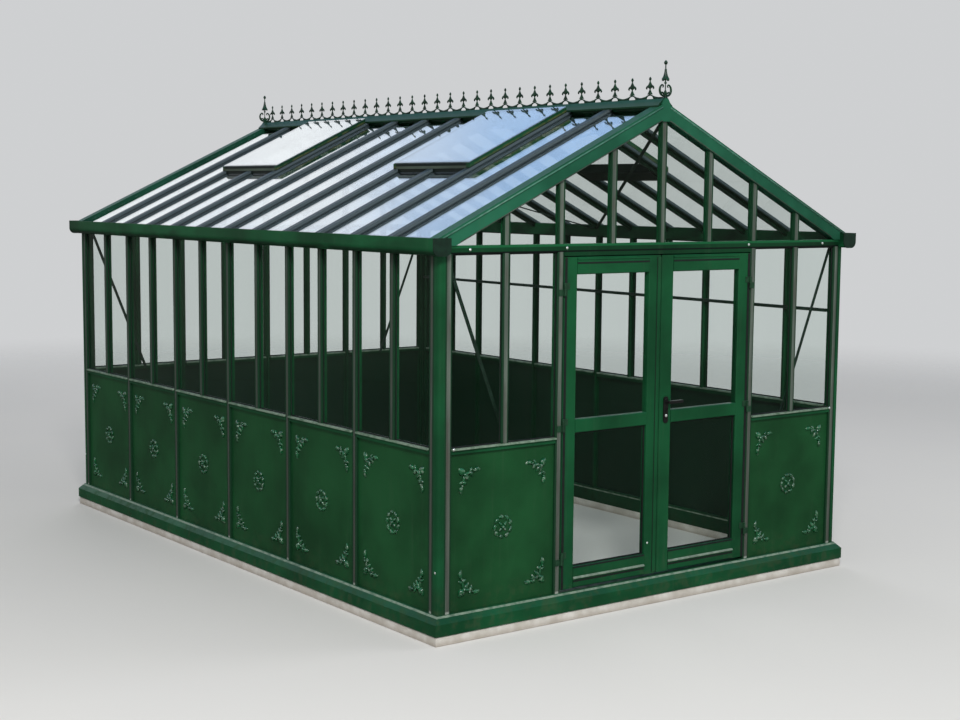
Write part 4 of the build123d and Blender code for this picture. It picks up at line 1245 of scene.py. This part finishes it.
class GREENHOUSE_OT_finials(Operator):
    """Cast the finials at both ends of the ridge."""

    bl_idname = "greenhouse.finials"
    bl_label = "Finials"

    def execute(self, context):
        low, high = node_box("ridge_finials")
        foot = node_box("ridge_beam")[1][2]
        half_plate = min(high[1], -low[1]) - 0.5 * context.scene.greenhouse_cresting.collar_width
        pair = stamped(finial(), [(0.0, side * half_plate, foot) for side in (-1, 1)], AS_DRAWN)
        piece = add_piece("finial_castings", pair, "cast_green", finish="ridge_green")
        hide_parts("ridge_finials")
        return {"FINISHED"}


def rail_levels(side):
    """Foot and top of a leaf's three rails, from the lowest up."""
    return np.unique(vertices_of("door_%s_rails" % side)[:, 2].round(4))


class GREENHOUSE_OT_gaskets(Operator):
    """Run a dark gasket round every wall pane and door pane, beside the caps and beads."""

    bl_idname = "greenhouse.gaskets"
    bl_label = "Glazing gaskets"

    def execute(self, context):
        settings = context.scene.greenhouse_fixing
        gasket = np.array(GASKET) * (settings.gasket_width, 1.0)
        for name, wall in WALLS.items():
            low, high = node_box("wall_glass_" + name)
            reach = max(abs(np.dot(low, wall["out"])), abs(np.dot(high, wall["out"])))
            lines = [line for line in range(wall["panes"])
                     if name != "front" or not DOOR_LINES[0] <= line < DOOR_LINES[1]]
            places = [(line_place(wall, line + 0.5), (SILL_TOP + EAVE) / 2, reach) for line in lines]
            strip = frame_strip(wall["pitch"] - settings.cap_width, EAVE - SILL_TOP, gasket)
            add_black_strip("pane_gaskets_" + name, on_wall(strip, name, places))
        for side in ("left", "right"):
            low, high = node_box("door_%s_glass" % side)
            rails_low, rails_high = node_box("door_%s_rails" % side)
            middle = (rails_low[0] + rails_high[0]) / 2
            parts = []
            for foot, top in (rail_levels(side)[1:3], rail_levels(side)[3:5]):
                strip = frame_strip(rails_high[0] - rails_low[0], top - foot, gasket)
                for face, axes in ((low[1], FACING_FRONT), (high[1], FACING_BACK)):
                    parts.append(moved(strip, (middle, face, (foot + top) / 2), axes))
            add_black_strip("door_gaskets_" + side, joined(parts), "door_" + side)
        return {"FINISHED"}


class GREENHOUSE_OT_clips(Operator):
    """Add the small closing clips at the feet of the roof bars and the bright bolt covers."""

    bl_idname = "greenhouse.clips"
    bl_label = "Clips and bolt covers"

    def execute(self, context):
        settings = context.scene.greenhouse_fixing
        wall = WALLS["right"]
        clip = revolved(CLIP_SECTION, 8)
        parts = []
        for side, name in ((-1, "roof_bars_left"), (1, "roof_bars_right")):
            low, high = node_box(name)
            edge = high[0] if side > 0 else low[0]
            level = low[2] + settings.clip_rise
            places = [(edge, line_place(wall, line), level) for line in range(1, wall["panes"])]
            parts.append(stamped(clip, places, ((0, 1, 0), (0, 0, 1), (side, 0, 0))))
        add_piece("roof_bar_clips", joined(parts), "end_cap_grey", finish="clip_pale")

        cover = dome(settings.bolt_radius, 0.45 * settings.bolt_radius)
        beam_low, beam_high = node_box("tie_beams")
        beam_places = [(x, (beam_low[2] + beam_high[2]) / 2, beam_high[1]) for x in BEAM_BOLTS]
        covers = []
        for name in ("front", "back"):
            wall = WALLS[name]
            inset = line_place(wall, wall["panes"]) - settings.bolt_inset
            front = wall["panel_reach"] + SILL_NOSE
            sill_places = [(side * inset, SILL_TOP - SILL_BOLT_DROP, front) for side in (-1, 1)]
            covers.append(on_wall(cover, name, sill_places + beam_places))
        add_piece("bolt_covers", joined(covers), "end_cap_grey", finish="bare_metal")
        return {"FINISHED"}


class GREENHOUSE_OT_corner_covers(Operator):
    """Round off the corner posts with covers from cap to cap, and add a bolt cover to each."""

    bl_idname = "greenhouse.corner_covers"
    bl_label = "Corner covers"

    def execute(self, context):
        power = context.scene.greenhouse_fixing.corner_round
        post_high = node_box("corner_posts")[1]
        inner = np.array([node_box("wall_caps_front")[1][0], node_box("wall_caps_left")[1][1]])
        reach = post_high[:2] - inner
        turn = np.linspace(0.0, pi / 2, 13)
        curve = inner + reach * np.stack([np.cos(turn) ** power, np.sin(turn) ** power], axis=1)
        profile = np.concatenate([curve, [inner - 0.25 * reach]])
        covers = [column(profile * np.array(corner), PANEL_FOOT, EAVE) for corner in CORNERS]
        add_piece("corner_covers", joined(covers), "green_paint", smooth=False)

        cover = dome(*POST_BOLT_SIZE)
        bolt = np.array([post_high[0] - SUNK, inner[1] + 0.45 * reach[1], PANEL_FOOT + POST_BOLT_RISE])
        bolts = []
        for x_side, y_side in CORNERS:
            axes = ((0, -x_side, 0), (0, 0, 1), (x_side, 0, 0))
            bolts.append(moved(cover, bolt * np.array([x_side, y_side, 1.0]), axes))
        add_piece("post_bolts", joined(bolts), "end_cap_grey", finish="bare_metal")
        return {"FINISHED"}


class GREENHOUSE_OT_rake_beads(Operator):
    """Add the rounded bead along each rake's upper edge and the thin pale line at its lower edge, both paler
    as painted highlights.
    """

    bl_idname = "greenhouse.rake_beads"
    bl_label = "Rake beads"

    def execute(self, context):
        settings = context.scene.greenhouse_fixing
        face = node_box("rake_rafters")[1]
        level = slope_levels("rake_rafters")[1]
        inner = node_box("gable_apex_plates")[1][0]
        line_drop = settings.rake_depth / cos(np.arctan(ROOF_SLOPE)) - RAKE_LINE_RISE
        beads, lines = [], []
        for x_side, y_side in CORNERS:
            top, foot = (np.array([x_side * x, y_side * face[1], level - ROOF_SLOPE * x])
                         for x in (inner, face[0]))
            beads.append(rod(top - BEAD_DROP * UP, foot - BEAD_DROP * UP, *RAKE_BEAD, 8))
            trimmed = foot - (foot - top) * settings.rake_trim
            lines.append(rod(top - line_drop * UP, trimmed - line_drop * UP, *RAKE_LINE, 6))
        # Painted highlights: the bead and the line are paler than the rake
        add_piece("rake_beads", joined(beads), "green_paint", finish="rake_bead_highlight")
        add_piece("rake_lines", joined(lines), "green_paint", finish="rake_edge_highlight")
        return {"FINISHED"}


class GREENHOUSE_OT_door_mouldings(Operator):
    """Add the leaves' drips and beads, the meeting strip, a bolt cover, and black strips and a stop of
    painted shade.
    """

    bl_idname = "greenhouse.door_mouldings"
    bl_label = "Door mouldings"

    def execute(self, context):
        settings = context.scene.greenhouse_fixing
        for side in ("left", "right"):
            body = "door_" + side
            rails_low, rails_high = node_box(body + "_rails")
            drip_level = rails_low[2] + settings.drip_rise
            bead_level = rails_high[2] - settings.bead_drop
            shade_line_levels = np.array([bead_level, rail_levels(side)[3], drip_level]) - SHADE_LINE_DROPS

            def on_rails(profile, *levels):
                """Strips of a profile across the leaf's rails at some levels."""
                origins = [((rails_low[0] + rails_high[0]) / 2, rails_low[1], level) for level in levels]
                return stamped(moulding(rails_high[0] - rails_low[0], profile), origins, AS_DRAWN)

            drip = on_rails(DRIP, drip_level)
            add_piece("door_drips_" + side, drip, "green_paint", body, "pale_green", smooth=False)
            bead = on_rails(BEAD, bead_level)
            add_piece("door_beads_" + side, bead, "green_paint", body, smooth=False)
            # Painted shade: black lines under the top rail's bead, just below the middle rail's top and
            # under the drip
            add_black_strip("door_lines_" + side, on_rails(SHADE_LINE_SECTION, *shade_line_levels), body)

        low, high = node_box("door_left_stiles")
        half = settings.meeting_width / 2
        profile = [(half * cos(v), -MEETING_RELIEF * sin(v)) for v in np.linspace(0, pi, 9)]
        strip = column(profile, low[2] + MEETING_GAP, high[2] - MEETING_GAP)
        strip = moved(strip, (high[0] - half, low[1], 0.0))
        add_piece("meeting_strip", strip, "green_paint", "door_left", smooth=False)
        # Painted shade: a black line beside the meeting strip
        line = flat_strip(MEETING_LINE[1], low[2] + MEETING_GAP, high[2] - MEETING_GAP)
        line = moved(line, (high[0] - settings.meeting_width - MEETING_LINE[0], low[1], 0.0))
        add_black_strip("meeting_line", line, "door_left")
        bolt = (high[0] + LEAF_BOLT[0], low[1] + SUNK, low[2] + LEAF_BOLT[1])
        cover = moved(dome(*LEAF_BOLT_SIZE), bolt, FACING_FRONT)
        add_piece("leaf_bolt", cover, "end_cap_grey", "door_left", "bare_metal")
        # Painted shade: a black strip along each leaf's hinged edge, where the jamb lies in shadow
        dark_hinge_strip = flat_strip(HINGE_SHADE_HALF, low[2] + HINGE_SHADE_GAP, high[2] - HINGE_SHADE_GAP)
        right_edge = node_box("door_right_stiles")[1][0]
        for side, place in (("left", low[0] + HINGE_SHADE_INSET), ("right", right_edge - HINGE_SHADE_INSET)):
            add_black_strip("hinge_shade_strip_" + side, moved(dark_hinge_strip, (place, low[1], 0.0)), "door_" + side)
        # Door stop: black, standing for the shade in the gap under the door head
        width = high[0] - low[0]
        near, far = high[1] + np.array(STOP_DEPTHS)
        profile = ((-width, near), (width, near), (width, far), (-width, far))
        add_black_strip("door_stop", column(profile, high[2] - STOP_OVERLAP, node_box("door_head")[0][2]))
        return {"FINISHED"}


class GREENHOUSE_OT_lock(Operator):
    """Add the keyhole's cylinder and the rose's screws, inside and outside."""

    bl_idname = "greenhouse.lock"
    bl_label = "Lock details"

    def execute(self, context):
        handle = node_box("door_handle")[0]
        middle = handle[0] + context.scene.greenhouse_fixing.rose_width / 2
        low, high = node_box("door_right_stiles")
        cylinder = revolved(CYLINDER_SECTION, 16)
        screw = dome(*SCREW_SIZE, steps=8, rings=3)
        metal, dark = [], []
        for axes, face in ((FACING_FRONT, low[1] - ROSE_DEPTH), (FACING_BACK, high[1] + ROSE_DEPTH)):
            metal.append(moved(cylinder, (middle, face, handle[2] + CYLINDER_RISE), axes))
            dark.append(stamped(screw, [(middle, face, handle[2] + rise) for rise in SCREW_RISES], axes))
        add_piece("lock_cylinder", joined(metal), "handle_black", "door_right", "bare_metal")
        add_piece("rose_screws", joined(dark), "handle_black", "door_right")
        return {"FINISHED"}


def lamp(name, place, target, size, power, colour=(1.0, 1.0, 1.0), mirrored=True):
    """A square soft lamp at a place, aimed at a target; one that isn't mirrored lights without a gleam."""
    data = bpy.data.lights.new(name, "AREA")
    data.size = size
    data.energy = power
    data.color = colour
    source = bpy.data.objects.new(name, data)
    source.location = place
    source.rotation_euler = (Vector(target) - Vector(place)).to_track_quat("-Z", "Y").to_euler()
    source.visible_glossy = mirrored
    bpy.context.scene.collection.objects.link(source)


def set_floor(settings):
    """Round pale floor that fades out into the surroundings between two distances."""
    radii = np.array([0.0, 0.25, 0.5, 0.75, 1.0]) * settings.floor_radius
    points, faces = revolved(np.stack([radii, np.full(5, FLOOR_LEVEL)], axis=1), 64)
    mesh = bpy.data.meshes.new("floor")
    mesh.from_pydata(points.tolist(), [], faces.tolist())
    floor = bpy.data.objects.new("floor", mesh)
    bpy.context.scene.collection.objects.link(floor)
    finish = Finish("floor_pale")
    x, y, z = finish.axes()
    distance = finish.math("SQRT", x * x + y * y)
    shade = settings.floor_shade
    tone = finish.mix(finish.noise(1.2), (shade, shade, 0.985 * shade), tinted((shade, shade, shade), 0.97))
    mirrored = finish.node("ShaderNodeLightPath", output="Is Glossy Ray")
    finish.shade(Roughness=0.9, Specular_IOR_Level=0.1)
    finish.shade(Alpha=distance.fall(0.45 * settings.floor_radius, 0.98 * settings.floor_radius))
    mesh.materials.append(finish.coloured(finish.mix(mirrored, tone, settings.mirrored_ground)))


def set_surroundings(settings):
    """Pale backdrop where seen directly, sky where mirrored, and plain soft light for the rest."""
    world = bpy.data.worlds.new("surroundings")
    bpy.context.scene.world = world
    graph = NodeGraph(world)

    def background(colour, strength=1.0):
        return graph.node("ShaderNodeBackground", None, {"Color": colour, "Strength": strength})

    direction = graph.node("ShaderNodeTexCoord", output="Generated")
    height = graph.split(direction)[2]
    clouds = graph.node("ShaderNodeTexNoise", None, {"Vector": direction, "Scale": 5.0})
    lifted = graph.math("MULTIPLY_ADD", clouds, 0.25, height)
    sky = graph.mix(lifted.rise(0.46, 0.66), settings.horizon, settings.zenith)
    mirrored = graph.mix(height.rise(0.02, 0.16), settings.mirrored_ground, sky)
    soft = background(settings.soft_colour, settings.soft_light)
    seen = graph.node("ShaderNodeLightPath", output="Is Camera Ray")
    glossy = graph.node("ShaderNodeLightPath", output="Is Glossy Ray")
    direct = graph.choose(seen, soft, background(settings.backdrop))
    output = graph.tree.nodes.new("ShaderNodeOutputWorld")
    graph.feed(output.inputs[0], graph.choose(glossy, direct, background(mirrored)))


class GREENHOUSE_OT_stage(Operator):
    """Set the floor, the lamps, the pale surroundings and the camera."""

    bl_idname = "greenhouse.stage"
    bl_label = "Stage and camera"

    def execute(self, context):
        scene = context.scene
        settings = scene.greenhouse_stage
        scene.view_settings.view_transform = "Standard"
        set_floor(settings)
        set_surroundings(settings)
        lamp("key_lamp", (-7.0, -10.5, 9.0), (0.0, 0.0, 1.0), 3.2, settings.key_power, (1.0, 0.98, 0.94))
        lamp("fill_lamp", (9.0, -6.0, 6.0), (0.0, 0.0, 1.0), 5.0, settings.fill_power, mirrored=False)
        lamp("rear_lamp", (4.0, 10.0, 8.0), (0.0, 0.0, 1.5), 6.0, settings.fill_power, mirrored=False)

        data = bpy.data.cameras.new("camera")
        data.lens = settings.lens
        data.sensor_width = 36.0
        camera = bpy.data.objects.new("camera", data)
        turn = Matrix.Rotation(-settings.camera_azimuth, 4, "Z")
        tilt = Matrix.Rotation(pi / 2 - settings.camera_drop, 4, "X")
        roll = Matrix.Rotation(settings.camera_roll, 4, "Z")
        camera.matrix_world = Matrix.Translation(settings.camera_place) @ turn @ tilt @ roll
        scene.collection.objects.link(camera)
        scene.camera = camera
        return {"FINISHED"}


class GREENHOUSE_PT_sidebar(Panel):
    """Lists the steps that dress the greenhouse, with their settings."""

    bl_idname = "GREENHOUSE_PT_sidebar"
    bl_label = "Greenhouse"
    bl_space_type = "VIEW_3D"
    bl_region_type = "UI"
    bl_category = "Greenhouse"

    def draw(self, context):
        for operator in OPERATORS:
            self.layout.operator(operator.bl_idname)
        for name, group in SETTINGS.items():
            box = self.layout.box()
            for key in group.__annotations__:
                box.prop(getattr(context.scene, name), key)


OPERATORS = (
    GREENHOUSE_OT_finishes,
    GREENHOUSE_OT_corner_leaves,
    GREENHOUSE_OT_rosettes,
    GREENHOUSE_OT_cresting,
    GREENHOUSE_OT_finials,
    GREENHOUSE_OT_gaskets,
    GREENHOUSE_OT_clips,
    GREENHOUSE_OT_corner_covers,
    GREENHOUSE_OT_rake_beads,
    GREENHOUSE_OT_door_mouldings,
    GREENHOUSE_OT_lock,
    GREENHOUSE_OT_stage,
)
SETTINGS = {
    "greenhouse_finish": FinishSettings,
    "greenhouse_ornament": OrnamentSettings,
    "greenhouse_cresting": CrestingSettings,
    "greenhouse_fixing": FixingSettings,
    "greenhouse_stage": StageSettings,
}


def register():
    for cls in (*SETTINGS.values(), *OPERATORS, GREENHOUSE_PT_sidebar):
        bpy.utils.register_class(cls)
    for name, group in SETTINGS.items():
        setattr(bpy.types.Scene, name, PointerProperty(type=group))


def unregister():
    for name in SETTINGS:
        delattr(bpy.types.Scene, name)
    for cls in reversed((*SETTINGS.values(), *OPERATORS, GREENHOUSE_PT_sidebar)):
        bpy.utils.unregister_class(cls)


def main():
    register()
    bpy.ops.greenhouse.finishes()
    bpy.ops.greenhouse.corner_leaves()
    bpy.ops.greenhouse.rosettes()
    bpy.ops.greenhouse.cresting()
    bpy.ops.greenhouse.finials()
    bpy.ops.greenhouse.gaskets()
    bpy.ops.greenhouse.clips()
    bpy.ops.greenhouse.corner_covers()
    bpy.ops.greenhouse.rake_beads()
    bpy.ops.greenhouse.door_mouldings()
    bpy.ops.greenhouse.lock()
    bpy.ops.greenhouse.stage()


if __name__ == "__main__":
    main()
